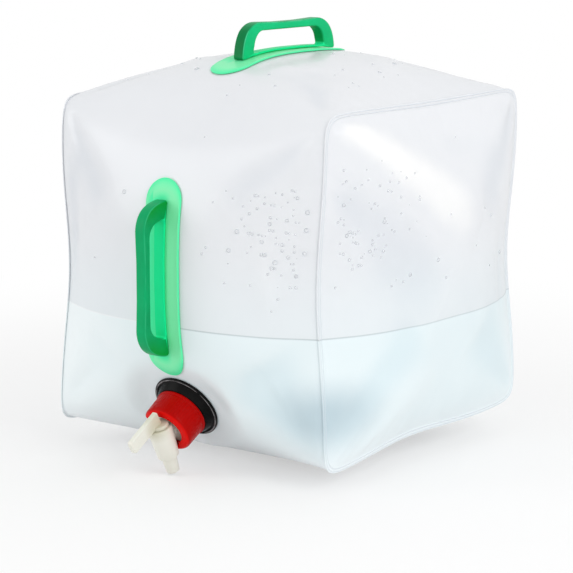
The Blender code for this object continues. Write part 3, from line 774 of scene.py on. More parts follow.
def dressed_band(bag, tap):
    """The band's rows of loops with folds and puckers, the folds' painted light and shade from -1 to 1 (lighter on
    ridges, darker in dents) and each row's place across.

    Rows lie closer together at the seams: a sine share of 0.6 with an even share of 0.4. Each point moves along
    the film's normal by the folds' and puckers' heights, which fade out at the welds, the neck and the handles.
    """
    angles = around_angles(72)
    share = np.linspace(-1, 1, 97)
    across = 0.6 * np.sin(np.pi / 2 * share) + 0.4 * share
    points = film_points(angles[None, :], across[:, None], bag, tap)
    normal = grid_normals(points, bag_middle(bag))
    distance = (1 - np.abs(across[:, None])) * bag.width / 2
    relief = fold_relief(points, front_folds + top_folds + back_folds) * eased(distance / weld_fade)
    smooth, fade = 0.034, 0.02
    clear = np.clip((np.linalg.norm(points - neck_line(tap)[0], axis=-1) - smooth) / fade, 0, 1)
    smooth, back, low = 0.024, 0.09, 0.07
    handles = np.clip((np.abs(points[..., 0]) - smooth) / fade, 0, 1)
    handles = np.where((points[..., 1] < back) & (points[..., 2] > low), handles, 1)
    relief = relief * clear * handles
    run = loop_length(points)
    relief = relief + pucker_relief(run, distance, bag.pucker, 3) * clear
    relief = np.where(points[..., 2] < 0.002, 0, relief)
    points = settled_corners(points + normal * relief[..., None], bag)
    # The folds' relief is also returned as painted light and shade: lighter on ridges, darker in dents.
    return points, np.clip(relief / full_shading_relief, -1, 1), across


def dressed_side(side, bag, tap):
    """A side sheet's rows with folds, puckers and the weld's two pressed lines, the folds' painted light and shade and
    those lines.

    Each point moves out by the heights of the folds and puckers, which fade out at the weld, and across the
    weld by the fourth power of a sine's two humps.
    """
    angles = around_angles(72)
    edges = np.linspace(bag.weld_overhang, -bag.weld_width, weld_rows)
    shares = np.linspace(1, 0, 52)[1:-1]
    rows = side_rows(side, shares, edges, angles, bag, tap)
    welded = np.concatenate([np.sin(np.linspace(0, 2 * np.pi, weld_rows)) ** 4, np.zeros(len(shares))])
    share = np.concatenate([np.ones(weld_rows), shares])[:, None]
    far = np.linalg.norm((rows - bag_middle(bag))[..., 1:], axis=-1)
    distance = (1 - share) * far.max(0)[None, :]
    relief = fold_relief(rows, side_folds if side > 0 else left_folds) * eased(distance / weld_fade)
    relief = relief + pucker_relief(loop_length(rows[:1]), distance, bag.pucker, 5 + side)
    rows[..., 0] += side * (relief + welded[:, None] * bag.weld_ridge)
    # The folds' relief, kept as painted light and shade.
    fold_shading = np.clip(relief / full_shading_relief, -1, 1)
    return settled_corners(rows, bag), fold_shading, np.broadcast_to(welded[:, None], fold_shading.shape)


def film_finish(name):
    """Milky film, bluer where water stands behind it, with a dark line at the water's edge.

    Painted light and shade: whiter on the folds' ridges and darker in their dents, lighter over the water at the left
    and at the foot, a painted highlight on the water's edge line at the left, and painted shade in a blue-grey patch
    in the dent beside the front right seam.
    """
    bag = carrier().bag
    water = carrier().water
    made = Finish(name, clear=True, IOR=1.46, Coat_Weight=0.25, Coat_Roughness=0.12)
    height = made.place("Z")
    cloud = made.noise(7, 3)
    fine = made.noise(38, 4, 0.6)
    fold_shading = made.painted("fold_shading")
    weld = made.painted("weld")
    ripple = made.noise(14, 2, 0.4, (1, 1, 0)) * 0.0014 - 0.0007
    below = 1 - made.ramp(height + ripple, water.level - 0.0008, water.level + 0.0008)
    deep = 1 - made.ramp(height, 0.02, water.level)
    # Painted light and shade from the folds' relief: whiter on ridges, darker in dents, with random cloudy variation.
    light = (fold_shading * 0.5 + cloud * 0.5 + fine * 0.16 + 0.17).held()
    dry = made.mix(made.ramp(light, 0.08, 0.50), bag.shade, bag.dry)
    dry = made.mix(made.ramp(light, 0.55, 1.0), dry, bag.light)
    wet = made.mix(made.ramp(light, 0.05, 0.62), bag.wet_shade, bag.wet)
    above = 1 - made.ramp(height, water.level, water.level + 0.08)
    dry = made.mix(above * 0.45, dry, wet)
    # Painted light: the film over water is lighter towards the left.
    left = 1 - made.ramp(made.place("X"), -0.12, 0.02)
    wet = made.mix(left * 0.75, wet, bag.wet_light)
    # Painted light at the foot, lifting the shade where the film curves under.
    wet = made.mix((1 - made.ramp(height, 0.0, 0.05)) * 0.7, wet, bag.foot)
    # Painted shade in the dent beside the front right seam.
    far = made.distance((bag.width / 2, -bag.depth / 2, water.level / 2), (1.0, 0.8, 1.7))
    pool = (1 - made.ramp(far + cloud * 0.012, 0.014, 0.074)) * (0.75 + 0.4 * made.noise(22, 2))
    wet = made.mix(pool.held(), wet, bag.pool)
    film = made.mix(below, dry, wet)
    edge = 1 - made.ramp(abs(height + ripple - water.level), water.line * 0.2, water.line * 0.8)
    # Painted highlight: the water's edge line turns pale towards the left.
    line = made.mix(1 - made.ramp(made.place("X"), -0.035, 0.0), water.edge, water.bright_edge)
    film = made.mix(edge * (0.15 + 0.55 * made.noise(9, 2)), film, line)
    film = made.mix((weld * 0.75).held(), film, bag.weld)
    rough = 0.24 + fine * 0.16 + below * 0.04
    alpha = (0.82 + cloud * 0.10 + below * 0.05 + weld * 0.1 + deep * 0.03).held()
    crinkle = made.bump(fine * 0.6 + made.noise(120, 2) * 0.25, 0.0006, 0.35)
    return made.give(Base_Color=film, Roughness=rough, Alpha=alpha, Normal=crinkle)


def patch_finish():
    """Light green film: deeper at its rim, with painted shade under the handle, slightly cloudy."""
    handle = carrier().handle
    made = Finish("patch_green", clear=True, IOR=1.46, Specular_IOR_Level=0.22)
    cloud = made.noise(26, 3)
    fine = made.noise(300, 2)
    rim = made.painted("rim")
    share = (rim * 0.85 + (cloud - 0.5) * 0.35).held()
    return made.give(
        Base_Color=made.mix(share, handle.patch, handle.patch_rim_and_shade),
        Roughness=0.26 + cloud * 0.14,
        Alpha=(0.86 + rim * 0.14).held(),
        Normal=made.bump(cloud * 0.5 + fine * 0.3, 0.0004, 0.4),
    )


def moulding_finish():
    """Green moulding: lighter where it is thinner and, by painted light, on its lit faces, with a painted highlight
    along its edges, painted shade on the inner faces at its feet, and faint flow marks.
    """
    handle = carrier().handle
    made = Finish("moulded_green", IOR=1.48, Specular_IOR_Level=0.10)
    cloud = made.noise(30, 3)
    flow = made.noise(90, 3, 0.6, (1, 0.2, 0.2))
    # Painted light: lighter on the lit flanks, and on the thinner strip.
    share = (made.painted("thin_and_lit") + (cloud - 0.5) * 0.34 + (flow - 0.5) * 0.16).held()
    body = made.mix(share, handle.green, handle.bright_green)
    # Painted shade on the inner faces at the legs.
    body = made.mix((made.painted("foot") * 0.9 + (cloud - 0.5) * 0.2).held(), body, handle.foot_shade_green)
    # A painted highlight along the edges, broken up by noise.
    line = (made.painted("line") * made.ramp(made.noise(55, 2), 0.25, 0.65) * 0.75).held()
    return made.give(
        Base_Color=made.mix(line, body, handle.edge_highlight_green),
        Roughness=0.30 + flow * 0.16,
        Normal=made.bump(flow * 0.5 + made.noise(500, 2) * 0.3, 0.0003, 0.4),
    )


def plain_plastic(name, first, second, rough, scale=60):
    """Moulded plastic or rubber of two near colours, with fine mottling and a light texture."""
    made = Finish(name, IOR=1.5, Specular_IOR_Level=0.16)
    cloud = made.noise(scale, 3)
    fine = made.noise(scale * 12, 3)
    return made.give(
        Base_Color=made.mix(made.ramp(cloud, 0.3, 0.7), first, second),
        Roughness=rough + (fine - 0.5) * 0.16,
        Normal=made.bump(fine, 0.0002, 0.3),
    )


def dish_finish():
    """Glossy black plastic with a painted grey highlight along the lip of its groove."""
    tap = carrier().tap
    made = Finish("dish_black", IOR=1.5, Specular_IOR_Level=0.05)
    cloud = made.noise(60, 3)
    # Painted highlight along the lip, broken up by noise.
    lip_highlight = made.painted("lip") * made.ramp(made.noise(110, 2), 0.30, 0.62)
    body = made.mix(made.ramp(cloud, 0.3, 0.7), tap.black, tuple(part * 2 for part in tap.black))
    return made.give(
        Base_Color=made.mix(lip_highlight.held(), body, tap.lip_highlight_grey),
        Roughness=0.16 + cloud * 0.14,
        Normal=made.bump(made.noise(700, 3), 0.0002, 0.25),
    )


def collar_finish():
    """Glossy red plastic with painted shade between its ribs and in a band towards the dish, and a painted highlight on
    its front edge.
    """
    tap = carrier().tap
    made = Finish("collar_red", IOR=1.5, Specular_IOR_Level=0.05)
    cloud = made.noise(80, 3)
    share = (made.painted("rib_shade") * 0.25 + (cloud - 0.5) * 0.6).held()
    # A painted highlight on the front edge.
    front_highlight_red = tuple(1.7 * part + 0.002 for part in tap.red)
    body = made.mix(share, tap.red, tap.rib_shade_red)
    body = made.mix(made.painted("front"), body, front_highlight_red)
    return made.give(
        Base_Color=body,
        Roughness=0.22 + cloud * 0.10,
        Normal=made.bump(made.noise(700, 2), 0.00015, 0.3),
    )


def ivory_finish():
    """Natural plastic that lets some light in: creamier and duller in its thick middle, with painted shade where the
    key meets the barrel, paler at its thinner ends.
    """
    tap = carrier().tap
    made = Finish("tap_ivory", IOR=1.5, Coat_Weight=0.15, Coat_Roughness=0.25)
    centre = tap_matrix(tap, True) @ Matrix.Translation((0, -0.004, tap.barrel_top + 0.004))
    far = made.distance(centre.translation)
    cloud = made.noise(70, 3)
    # Thick plastic, and painted shade where the key meets the barrel.
    thick = (1 - made.ramp(far, 0.005, 0.018)) * 0.9 + (cloud - 0.5) * 0.45
    return made.give(
        Base_Color=made.mix(thick.held(), tap.ivory, tap.shaded_thick_ivory),
        Roughness=0.34 + cloud * 0.14,
        Normal=made.bump(made.noise(420, 3), 0.0003, 0.3),
    )


def water_finish():
    """Still water in the bag: bluer with depth."""
    water = carrier().water
    made = Finish("water", IOR=1.33)
    depth = 1 - made.ramp(made.place("Z"), 0.0, water.level)
    cloud = made.noise(9, 2)
    paler = tuple(part + (1 - part) * 0.35 for part in water.body)
    return made.give(
        Base_Color=made.mix((depth * 0.6 + cloud * 0.5).held(), paler, water.body),
        Roughness=0.06 + cloud * 0.05,
        Normal=made.bump(made.noise(18, 2), 0.002, 0.25),
    )


def drop_finish():
    """Clear drops: a clear dome with a grey ring of painted shade at its foot."""
    water = carrier().water
    made = Finish("drops", clear=True, IOR=1.33, Roughness=0.05, Coat_Weight=0.4, Coat_Roughness=0.03)
    rim = made.painted("rim")
    cloud = made.noise(160, 2)
    # Painted shade: a grey ring at each drop's foot.
    ring = (rim ** 2.5 * (0.65 + cloud * 0.5)).held()
    return made.give(
        Base_Color=made.mix(ring, water.drop, water.drop_edge_shade),
        Alpha=(0.30 + ring * 0.50).held(),
    )


class CARRIER_OT_film_band(bpy.types.Operator):
    """The wide strip of film over the front, top, back and base"""

    bl_idname = "carrier.film_band"
    bl_label = "Film Band"

    def execute(self, context):
        bag, tap = carrier().bag, carrier().tap
        points, fold_shading, across = dressed_band(bag, tap)
        rows, columns = points.shape[:2]
        faces = grid_faces(rows, columns)
        seat, axis = neck_line(tap)
        # The faces whose middles lie within a radius of the neck's axis are left out. The weld's line is a bell curve.
        middle = points.reshape(-1, 3)[faces].mean(1) - seat
        radial = np.linalg.norm(middle - (middle @ axis)[:, None] * axis, axis=-1)
        behind, room = -0.02, 0.003
        open_for_neck = (radial < tap.neck_radius + room) & (middle @ axis > behind)
        place, spread = 0.0016, 0.0007
        weld = np.exp(-(((1 - np.abs(across)) * bag.width / 2 - place) / spread) ** 2)[:, None]
        weld = np.broadcast_to(weld * 0.35, fold_shading.shape)
        mesh = built("film_band", points, faces[~open_for_neck], painted={"fold_shading": fold_shading, "weld": weld})
        finish = film_finish("film_wrap")
        for name, side, part in strips_of(mesh, bag, False):
            made = walled(shown("film_wrap_" + name, part, finish), bag.film)
            fitted(made, "bag", "film", "film_band")
            if side:
                softened(made, bag, side)
        return {"FINISHED"}


class CARRIER_OT_side_panels(bpy.types.Operator):
    """The two side sheets with their welded edges"""

    bl_idname = "carrier.side_panels"
    bl_label = "Side Panels"

    def execute(self, context):
        bag, tap = carrier().bag, carrier().tap
        for name, side in sides[::2]:
            rows, fold_shading, weld = dressed_side(side, bag, tap)
            count, columns = rows.shape[:2]
            crown = bag_middle(bag)[None] + [[side * (bag.width / 2 + bag.side_bulge), 0, 0]]
            points = np.concatenate([rows.reshape(-1, 3), crown])
            pole = pole_faces(count * columns, (count - 1) * columns, columns, True)
            mesh = built(
                name + "_sheet", points, grid_faces(count, columns), pole,
                painted={"fold_shading": np.append(fold_shading, 0), "weld": np.append(weld * (0.6 + 0.4 * side), 0)},
            )
            made = walled(shown(name + "_sheet", mesh, film_finish(name + "_film")), bag.film)
            fitted(made, name + "_side", "film", name + "_panel")
            softened(made, bag, side, name + "_side_squeeze")
        return {"FINISHED"}


class CARRIER_OT_water(bpy.types.Operator):
    """The water that fills the lower part of the bag"""

    bl_idname = "carrier.water"
    bl_label = "Water"

    def execute(self, context):
        bag, tap, water = carrier().bag, carrier().tap, carrier().water
        # The film's own rows, from side to side, each point moved in by the margin and the whole cut at the level.
        band, _, across = dressed_band(bag, tap)
        left, right = (dressed_side(side, bag, tap)[0][inner_rows:-1:2] for side in (-1, 1))
        inside_welds = np.abs(across) < 0.965
        rows = np.concatenate([left[::-1], band[inside_welds], right])
        rows = rows - grid_normals(rows, bag_middle(bag)) * water.margin
        count, columns = rows.shape[:2]
        poles = np.stack([rows[0].mean(0), rows[-1].mean(0)])
        points = np.concatenate([rows.reshape(-1, 3), poles])
        points[:, 2] = np.maximum(points[:, 2], water.margin)
        mesh = built("water", points, *closed_faces(count, columns))
        mesh = trimmed(mesh, True, ((0, 0, water.level), (0, 0, 1)))
        finish = water_finish()
        for name, side, part in strips_of(mesh, bag, True):
            made = shown("water_" + name, part, finish)
            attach(made, "bag")
            if side:
                softened(made, bag, side)
        return {"FINISHED"}


def dome_template(rings, spokes):
    """A drop of radius 1: rings of a ball from its widest to near its top, lowered to a share of its height, with
    the two poles. Its rim share falls evenly from 1 at the foot."""
    tall, sunk, last_lean = 0.62, -0.08, 0.25
    turn = np.linspace(0, 2 * np.pi, spokes, endpoint=False)
    lean = np.linspace(np.pi / 2, last_lean, rings)[:, None]
    ring = np.stack(np.broadcast_arrays(np.cos(turn) * np.sin(lean), np.sin(turn) * np.sin(lean),
                                        tall * np.cos(lean)), -1)
    points = np.concatenate([ring.reshape(-1, 3), [[0, 0, sunk], [0, 0, tall]]])
    rim = np.append(np.repeat(np.linspace(1, 0.1, rings), spokes), [1, 0])
    return points, closed_faces(rings, spokes), rim


def drops_on(name, points, normals, places, radii, finish):
    """Drops at the grid points nearest to the wanted places, all in one mesh, each turned to the film's normal."""
    points, normals = points.reshape(-1, 3), normals.reshape(-1, 3)
    nearest = ((places[:, None] - points[None]) ** 2).sum(-1).argmin(1)
    up = normals[nearest]
    slanted = [0.31, 0.52, 0.79]
    side = np.cross(up, slanted)
    side /= np.linalg.norm(side, axis=-1, keepdims=True)
    over = np.cross(up, side)
    shape, faces, rim = dome_template(4, 10)
    stretch = radii[:, None, None] * shape[None]
    centre = points[nearest][:, None]
    axes = np.stack([side, over, up], 1)
    made = centre + stretch[..., :1] * axes[:, :1] + stretch[..., 1:2] * axes[:, 1:2] + stretch[..., 2:] * axes[:, 2:]
    step = (np.arange(len(places)) * len(shape))[:, None, None]
    groups = [(group[None] + step).reshape(-1, group.shape[1]) for group in faces]
    mesh = bpy.data.meshes.new(name)
    mesh.from_pydata(made.reshape(-1, 3).tolist(), [], [face for group in groups for face in group.tolist()])
    layer = mesh.attributes.new("rim", "FLOAT", "POINT")
    layer.data.foreach_set("value", np.tile(rim, len(places)).astype(np.float32))
    work = bmesh.new()
    work.from_mesh(mesh)
    bmesh.ops.recalc_face_normals(work, faces=work.faces)
    work.to_mesh(mesh)
    work.free()
    return shown(name, mesh, finish)


class CARRIER_OT_drops(bpy.types.Operator):
    """Drops of water on the front, the top and the right side"""

    bl_idname = "carrier.drops"
    bl_label = "Drops"

    def execute(self, context):
        # Wanted places gather beside the front right seam by a normal spread, with a few anywhere and some large ones.
        bag, tap, water = carrier().bag, carrier().tap, carrier().water
        rng = np.random.default_rng(water.seed)
        count = water.drops
        band, _, _ = dressed_band(bag, tap)
        normal = grid_normals(band, bag_middle(bag))
        ahead, beside, above, few = -0.165, 0.155, 0.33, count // 5
        wide = 0.128 - np.abs(rng.normal(0, 0.034, count))
        front = np.stack([wide, np.full(count, ahead), rng.uniform(0.165, 0.243, count)], -1)
        stray = np.stack([rng.uniform(-0.10, 0.12, few), np.full(few, ahead), rng.uniform(0.14, 0.29, few)], -1)
        wet = np.stack([rng.uniform(-0.11, 0.12, few * 3), rng.uniform(-0.14, 0.10, few * 3),
                        np.full(few * 3, above)], -1)
        large = np.array([(0.063, -0.165, 0.190), (0.070, -0.165, 0.208), (0.103, -0.16, 0.185),
                          (0.128, -0.15, 0.223), (0.128, -0.15, 0.213), (0.126, -0.15, 0.192)])
        places = np.concatenate([front, stray, wet, large])
        clear_of_handles = (np.abs(places[:, 0]) > 0.024) | (places[:, 1] > 0.075)
        finish = drop_finish()
        radii = water.drop_radius * rng.lognormal(-0.15, 0.35, len(places))
        radii[-len(large):] = water.large_drop
        for name, side in sides:
            here = clear_of_handles & (np.where(np.abs(places[:, 0]) < bag.held, 0, np.sign(places[:, 0])) == side)
            made = drops_on("drops_" + name, band, normal, places[here], radii[here], finish)
            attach(made, "bag")
            if side:
                softened(made, bag, side)
        rows, _, _ = dressed_side(1, bag, tap)
        normal = grid_normals(rows, bag_middle(bag))
        near = -0.135 + np.abs(rng.normal(0, 0.052, count))
        side = np.stack([np.full(count, beside), near, rng.uniform(0.160, 0.262, count)], -1)
        stray = np.stack([np.full(few, beside), rng.uniform(-0.12, 0.12, few), rng.uniform(0.14, 0.28, few)], -1)
        large = np.array([(0.15, -0.095, 0.190), (0.15, -0.080, 0.215), (0.15, -0.118, 0.205)])
        places = np.concatenate([side, stray, large])
        radii = water.drop_radius * rng.lognormal(-0.15, 0.35, len(places))
        radii[-len(large):] = water.large_side_drop
        made = drops_on("drops_on_side", rows[inner_rows:-2], normal[inner_rows:-2], places, radii, finish)
        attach(made, "right_side")
        softened(made, bag, 1, "right_side_squeeze")
        return {"FINISHED"}


def film_at(face, along, sideways, bag, tap):
    """The film's points on the top or the front at places along it and sideways.

    The angle and the place across are stepped thirty times by what is still missing, over the bag's size.
    """
    angle = np.full(np.shape(along), np.pi / 2 if face == "top" else 0.0)
    across = 2 * sideways / bag.width
    passes = 30
    for _ in range(passes):
        point = film_points(angle, across, bag, tap)
        reached = point[..., 1] if face == "top" else point[..., 2]
        angle = angle + (along - reached) / bag.depth
        across = across + (sideways - point[..., 0]) / bag.width
    return point


def film_normals(face, along, sideways, bag, tap):
    """Unit normals of the film there, from small steps both ways."""
    step = 0.0018
    ahead = film_at(face, along + step, sideways, bag, tap) - film_at(face, along - step, sideways, bag, tap)
    beside = film_at(face, along, sideways + step, bag, tap) - film_at(face, along, sideways - step, bag, tap)
    normal = np.cross(beside, ahead)
    return normal / np.linalg.norm(normal, axis=-1, keepdims=True)


class CARRIER_OT_patches(bpy.types.Operator):
    """The two oval green patches under the handles"""

    bl_idname = "carrier.patches"
    bl_label = "Patches"

    def execute(self, context):
        # An outline of two half circles and two straight sides is scaled by each share and lifted off the film along
        # its normal. The lift is a quarter circle at the rim with a small bell-shaped welt inside it; the last five
        # rows are the flat underside.
        bag, tap, handle = carrier().bag, carrier().tap, carrier().handle
        finish = patch_finish()
        radius = handle.pad_width / 2
        straight = handle.pad_length / 2 - radius
        turn = np.linspace(-np.pi / 2, np.pi / 2, 33)
        end = np.stack([straight + radius * np.cos(turn), radius * np.sin(turn)], -1)
        edge = np.linspace(straight, -straight, 42)[1:-1]
        outline = np.concatenate([
            end, np.stack([edge, np.full_like(edge, radius)], -1), -end,
            np.stack([-edge, np.full_like(edge, -radius)], -1),
        ])
        round_from = 0.93
        share = np.concatenate([np.linspace(0.08, 0.88, 12), [round_from, 0.96, 0.98, 0.993, 1.0]])
        rise = np.sqrt(np.clip(1 - np.clip((share - round_from) / 0.07, 0, 1) ** 2, 0, 1))
        rise = rise + 0.25 * np.exp(-(((share - 0.92) / 0.03) ** 2))
        share = np.concatenate([share, [0.995, 0.9, 0.7, 0.4, 0.1]])
        rise = np.concatenate([rise, np.zeros(5)])
        rise[share.argmax()] = 0.4
        for face, centre, place in (
            ("top", handle.top_pad, handle.top_place), ("front", handle.front_pad, handle.front_place)
        ):
            flat = outline[None] * share[:, None, None]
            foot = film_at(face, centre + flat[..., 0], flat[..., 1], bag, tap)
            normal = film_normals(face, centre + flat[..., 0], flat[..., 1], bag, tap)
            lift = 2 * bag.gap + rise[:, None, None] * handle.pad_thickness
            points = foot + normal * lift
            middle = film_at(face, np.array([centre]), np.zeros(1), bag, tap)
            up = film_normals(face, np.array([centre]), np.zeros(1), bag, tap)
            poles = np.concatenate([middle + up * (2 * bag.gap + handle.pad_thickness), middle + up * 2 * bag.gap])
            rows, columns = points.shape[:2]
            # Its rim is deeper in colour, and painted shade lies under the handle.
            rim = (np.clip((share - 0.9) / 0.08, 0, 1) * 0.8)[:, None]
            shifted, spread, beyond = 0.0050, 0.0110, 0.002
            # Painted shade under the handle, offset to one side.
            under = np.exp(-(((flat[..., 1] + shifted) / spread) ** 6))
            under = under * (np.abs(flat[..., 0] + centre - place) < handle.length / 2 + beyond)
            painted = np.append(np.maximum(rim, under), [0.7, 0])
            mesh = built(face + "_patch", np.concatenate([points.reshape(-1, 3), poles]),
                         *closed_faces(rows, columns), painted={"rim": painted})
            fitted(shown(face + "_patch", mesh, finish), "bag", "pad", face + "_pad")
        return {"FINISHED"}


def rounded(corners, radii, steps):
    """Points of a closed outline whose corners are arcs; every corner gives the same number of points.

    Each arc touches both sides at radius over the tangent of half the corner's angle.
    """
    corners = np.asarray(corners, float)
    radii = np.asarray(radii, float)
    back = np.roll(corners, 1, 0) - corners
    ahead = np.roll(corners, -1, 0) - corners
    back /= np.linalg.norm(back, axis=1, keepdims=True)
    ahead /= np.linalg.norm(ahead, axis=1, keepdims=True)
    half = np.arccos(np.clip((back * ahead).sum(1), -0.999999, 0.999999)) / 2
    bisector = back + ahead
    bisector /= np.maximum(np.linalg.norm(bisector, axis=1, keepdims=True), 1e-9)
    middle = corners + bisector * (radii / np.sin(half))[:, None]
    start = corners + back * (radii / np.tan(half))[:, None] - middle
    sweep = np.pi - 2 * half
    sense = np.sign(back[:, 0] * ahead[:, 1] - back[:, 1] * ahead[:, 0])
    turn = -sense[:, None] * sweep[:, None] * np.linspace(0, 1, steps + 1)
    along = start[:, None, 0] * np.cos(turn) - start[:, None, 1] * np.sin(turn)
    across = start[:, None, 0] * np.sin(turn) + start[:, None, 1] * np.cos(turn)
    return (middle[:, None] + np.stack([along, across], -1)).reshape(-1, 2)


def finer(profile, step):
    """A closed profile with more points, none further apart than a step, by linear steps along its length."""
    ring = np.concatenate([profile, profile[:1]])
    run = np.append(0, np.cumsum(np.linalg.norm(np.diff(ring, axis=0), axis=1)))
    spots = np.union1d(run[:-1], np.arange(0, run[-1], step))
    return np.stack([np.interp(spots, run, ring[:, 0]), np.interp(spots, run, ring[:, 1])], -1)


def handle_loops(handle):
    """The handle's outer and inner outlines, point by point beside each other: along and height."""
    half = handle.length / 2
    under = handle.height - handle.grip
    shoulder = half - handle.lean
    inside = half - handle.leg
    inside_top = inside - handle.lean
    dip = handle.dip_reach / 2
    waist = handle.height - handle.dip
    arc = 14
    outer = rounded(
        [(half, 0), (shoulder, handle.height), (dip, waist), (-dip, waist), (-shoulder, handle.height), (-half, 0)],
        [handle.foot, handle.shoulder, handle.dip_reach, handle.dip_reach, handle.shoulder, handle.foot], arc,
    )
    window = rounded(
        [(inside, handle.strip), (inside_top, under), (-inside_top, under), (-inside, handle.strip)],
        [handle.foot, handle.window, handle.window, handle.foot], arc,
    )
    count = arc + 1
    waist_points = outer[2 * count:4 * count]
    inner = np.concatenate([
        window[:2 * count], np.stack([waist_points[:, 0], np.full(2 * count, under)], -1), window[2 * count:],
    ])
    share = np.linspace(-1, 1, 40)[1:-1]
    outer = np.concatenate([outer, np.stack([share * (half - handle.foot), np.zeros_like(share)], -1)])
    inner = np.concatenate([inner, np.stack([share * inside, np.full_like(share, handle.strip)], -1)])
    return outer, inner


class CARRIER_OT_handles(bpy.types.Operator):
    """The two green moulded handles"""

    bl_idname = "carrier.handles"
    bl_label = "Handles"

    def execute(self, context):
        # Each pair of outline points carries a section of four straight sides and four quarter circles, from the
        # outer point to the inner one. A point's height is taken from the film under it at the feet, and from the
        # film under the handle's middle at the grip.
        bag, tap, handle = carrier().bag, carrier().tap, carrier().handle
        finish = moulding_finish()
        outer, inner = handle_loops(handle)
        run = inner - outer
        thick = np.linalg.norm(run, axis=-1)
        inward = run / thick[:, None]
        edge = np.minimum(handle.edge, thick * 0.4)[:, None]
        turn = np.concatenate([np.pi / 4 - np.pi / 2 * corner + np.linspace(np.pi / 4, -np.pi / 4, 7)
                               for corner in range(4)])
        near = np.repeat([1, 1, 0, 0], 7)
        side = np.repeat([1, -1, -1, 1], 7)
        depth = np.where(near, edge, thick[:, None] - edge) - edge * np.cos(turn)
        sideways = side * (handle.width / 2 - edge) + edge * np.sin(turn)
        spot = outer[:, None] + inward[:, None] * depth[..., None]
        along, height = spot[..., 0], spot[..., 1]
        # Shares of the flanks, the rounded edges, the base strip, the legs and the opening's inner faces.
        flank = np.abs(np.sin(turn)) ** 3
        corner = (1 - np.abs(np.cos(2 * turn))) ** 2
        fade, legs_from, legs_reach = 0.003, 0.30, 0.14
        strip = np.clip(1 - (height - handle.strip) / fade, 0, 1) * (np.abs(along) < handle.length / 2 - handle.leg)
        leg = np.clip((np.abs(along) - legs_from * handle.length) / (legs_reach * handle.length), 0, 1)
        inside = (1 - near) * (1 - flank) * (1 - strip)
        # The edges' painted highlight, stronger on the near side.
        line = corner * (0.35 + 0.65 * near)
        # For each handle: painted light on its lit flanks, painted shade on the inner faces at its legs, and a painted
        # highlight along its edges.
        for face, centre, thin_and_lit, shaded_face_share, highlight_share in (
            ("top", handle.top_place, 0.26 + 0.34 * flank - 0.20 * leg * (1 - flank), inside, 0.9),
            ("front", handle.front_place, 0.31 - 0.06 * flank - 0.04 * leg, 0.8 * flank + inside, 0.4),
        ):
            tones = {"thin_and_lit": np.clip(thin_and_lit + strip, 0, 1), "foot": np.clip(shaded_face_share * leg * leg * (1 - strip), 0, 1),
                     "line": np.broadcast_to(line * highlight_share, along.shape)}
            foot = film_at(face, centre + along, np.zeros_like(along), bag, tap)
            middle = film_at(face, np.array(centre), np.zeros(()), bag, tap)
            share = np.clip(height / (handle.height - handle.grip), 0, 1)
            stand = 3 * bag.gap + handle.pad_thickness
            if face == "top":
                level = foot[..., 2] + (middle[2] - foot[..., 2]) * share + stand
                points = np.stack([sideways, centre + along, level + height], -1)
            else:
                level = foot[..., 1] + (middle[1] - foot[..., 1]) * share - stand
                points = np.stack([sideways, level - height, centre + along], -1)
            mesh = built(face + "_moulding", points, grid_faces(*points.shape[:2], wrap_rows=True), painted=tones)
            fitted(shown(face + "_moulding", mesh, finish, 50), "bag", "handle", face + "_handle")
        return {"FINISHED"}


def turned(profile, steps, matrix):
    """A profile of radius and height carried round Z: x is radius times cosine, y is radius times sine."""
    turn = np.linspace(0, 2 * np.pi, steps, endpoint=False)
    profile = np.asarray(profile, float)
    radius = profile[:, :1]
    points = np.stack(np.broadcast_arrays(radius * np.cos(turn), radius * np.sin(turn), profile[:, 1:]), -1)
    return moved(points, matrix)


def turned_mesh(name, profile, steps, matrix, painted=None):
    """A ring-shaped solid from a closed profile."""
    points = turned(profile, steps, matrix)
    return built(name, points, grid_faces(len(points), steps, wrap_rows=True), painted=painted)


def capped_mesh(name, profile, steps, matrix):
    """A round solid from an open profile, closed at both ends by a point on the axis."""
    points = turned(profile, steps, matrix)
    ends = moved(np.array([[0, 0, profile[0][1]], [0, 0, profile[-1][1]]], float), matrix)
    return built(name, np.concatenate([points.reshape(-1, 3), ends]), *closed_faces(len(points), steps))


class CARRIER_OT_dish(bpy.types.Operator):
    """The black dish between the collar and the film"""

    bl_idname = "carrier.dish"
    bl_label = "Dish"

    def execute(self, context):
        bag, tap = carrier().bag, carrier().tap
        # A profile with a groove is carried round the neck's axis; the painted highlight on the lip is a bell curve
        # beside the groove.
        bore = tap.neck_radius + bag.gap
        groove, lip_spread = 0.0008, 0.0005
        corners = [
            (bore, tap.dish_height), (tap.dish_top, tap.dish_height), (tap.dish_groove - groove, tap.dish_rim),
            (tap.dish_groove, tap.dish_rim - groove), (tap.dish_groove + groove, tap.dish_rim),
            (tap.dish_radius, tap.dish_rim), (tap.dish_radius, bag.gap), (bore, bag.gap),
        ]
        profile = rounded(corners, [0.0002, 0.0009, 0.0005, 0.0004, 0.0004, 0.0009, 0.0008, 0.0002], 5)
        lip = np.exp(-(((profile[:, 0] - tap.dish_groove - groove * 1.4) / lip_spread) ** 2))
        lip = lip * (profile[:, 1] > bag.gap * 3)
        steps = 128
        mesh = turned_mesh("tap_dish", profile, steps, tap_matrix(tap), {"lip": np.repeat(lip, steps)})
        fitted(shown("tap_dish", mesh, dish_finish(), 30), "bag", "black_plastic", "sealing_dish")
        return {"FINISHED"}


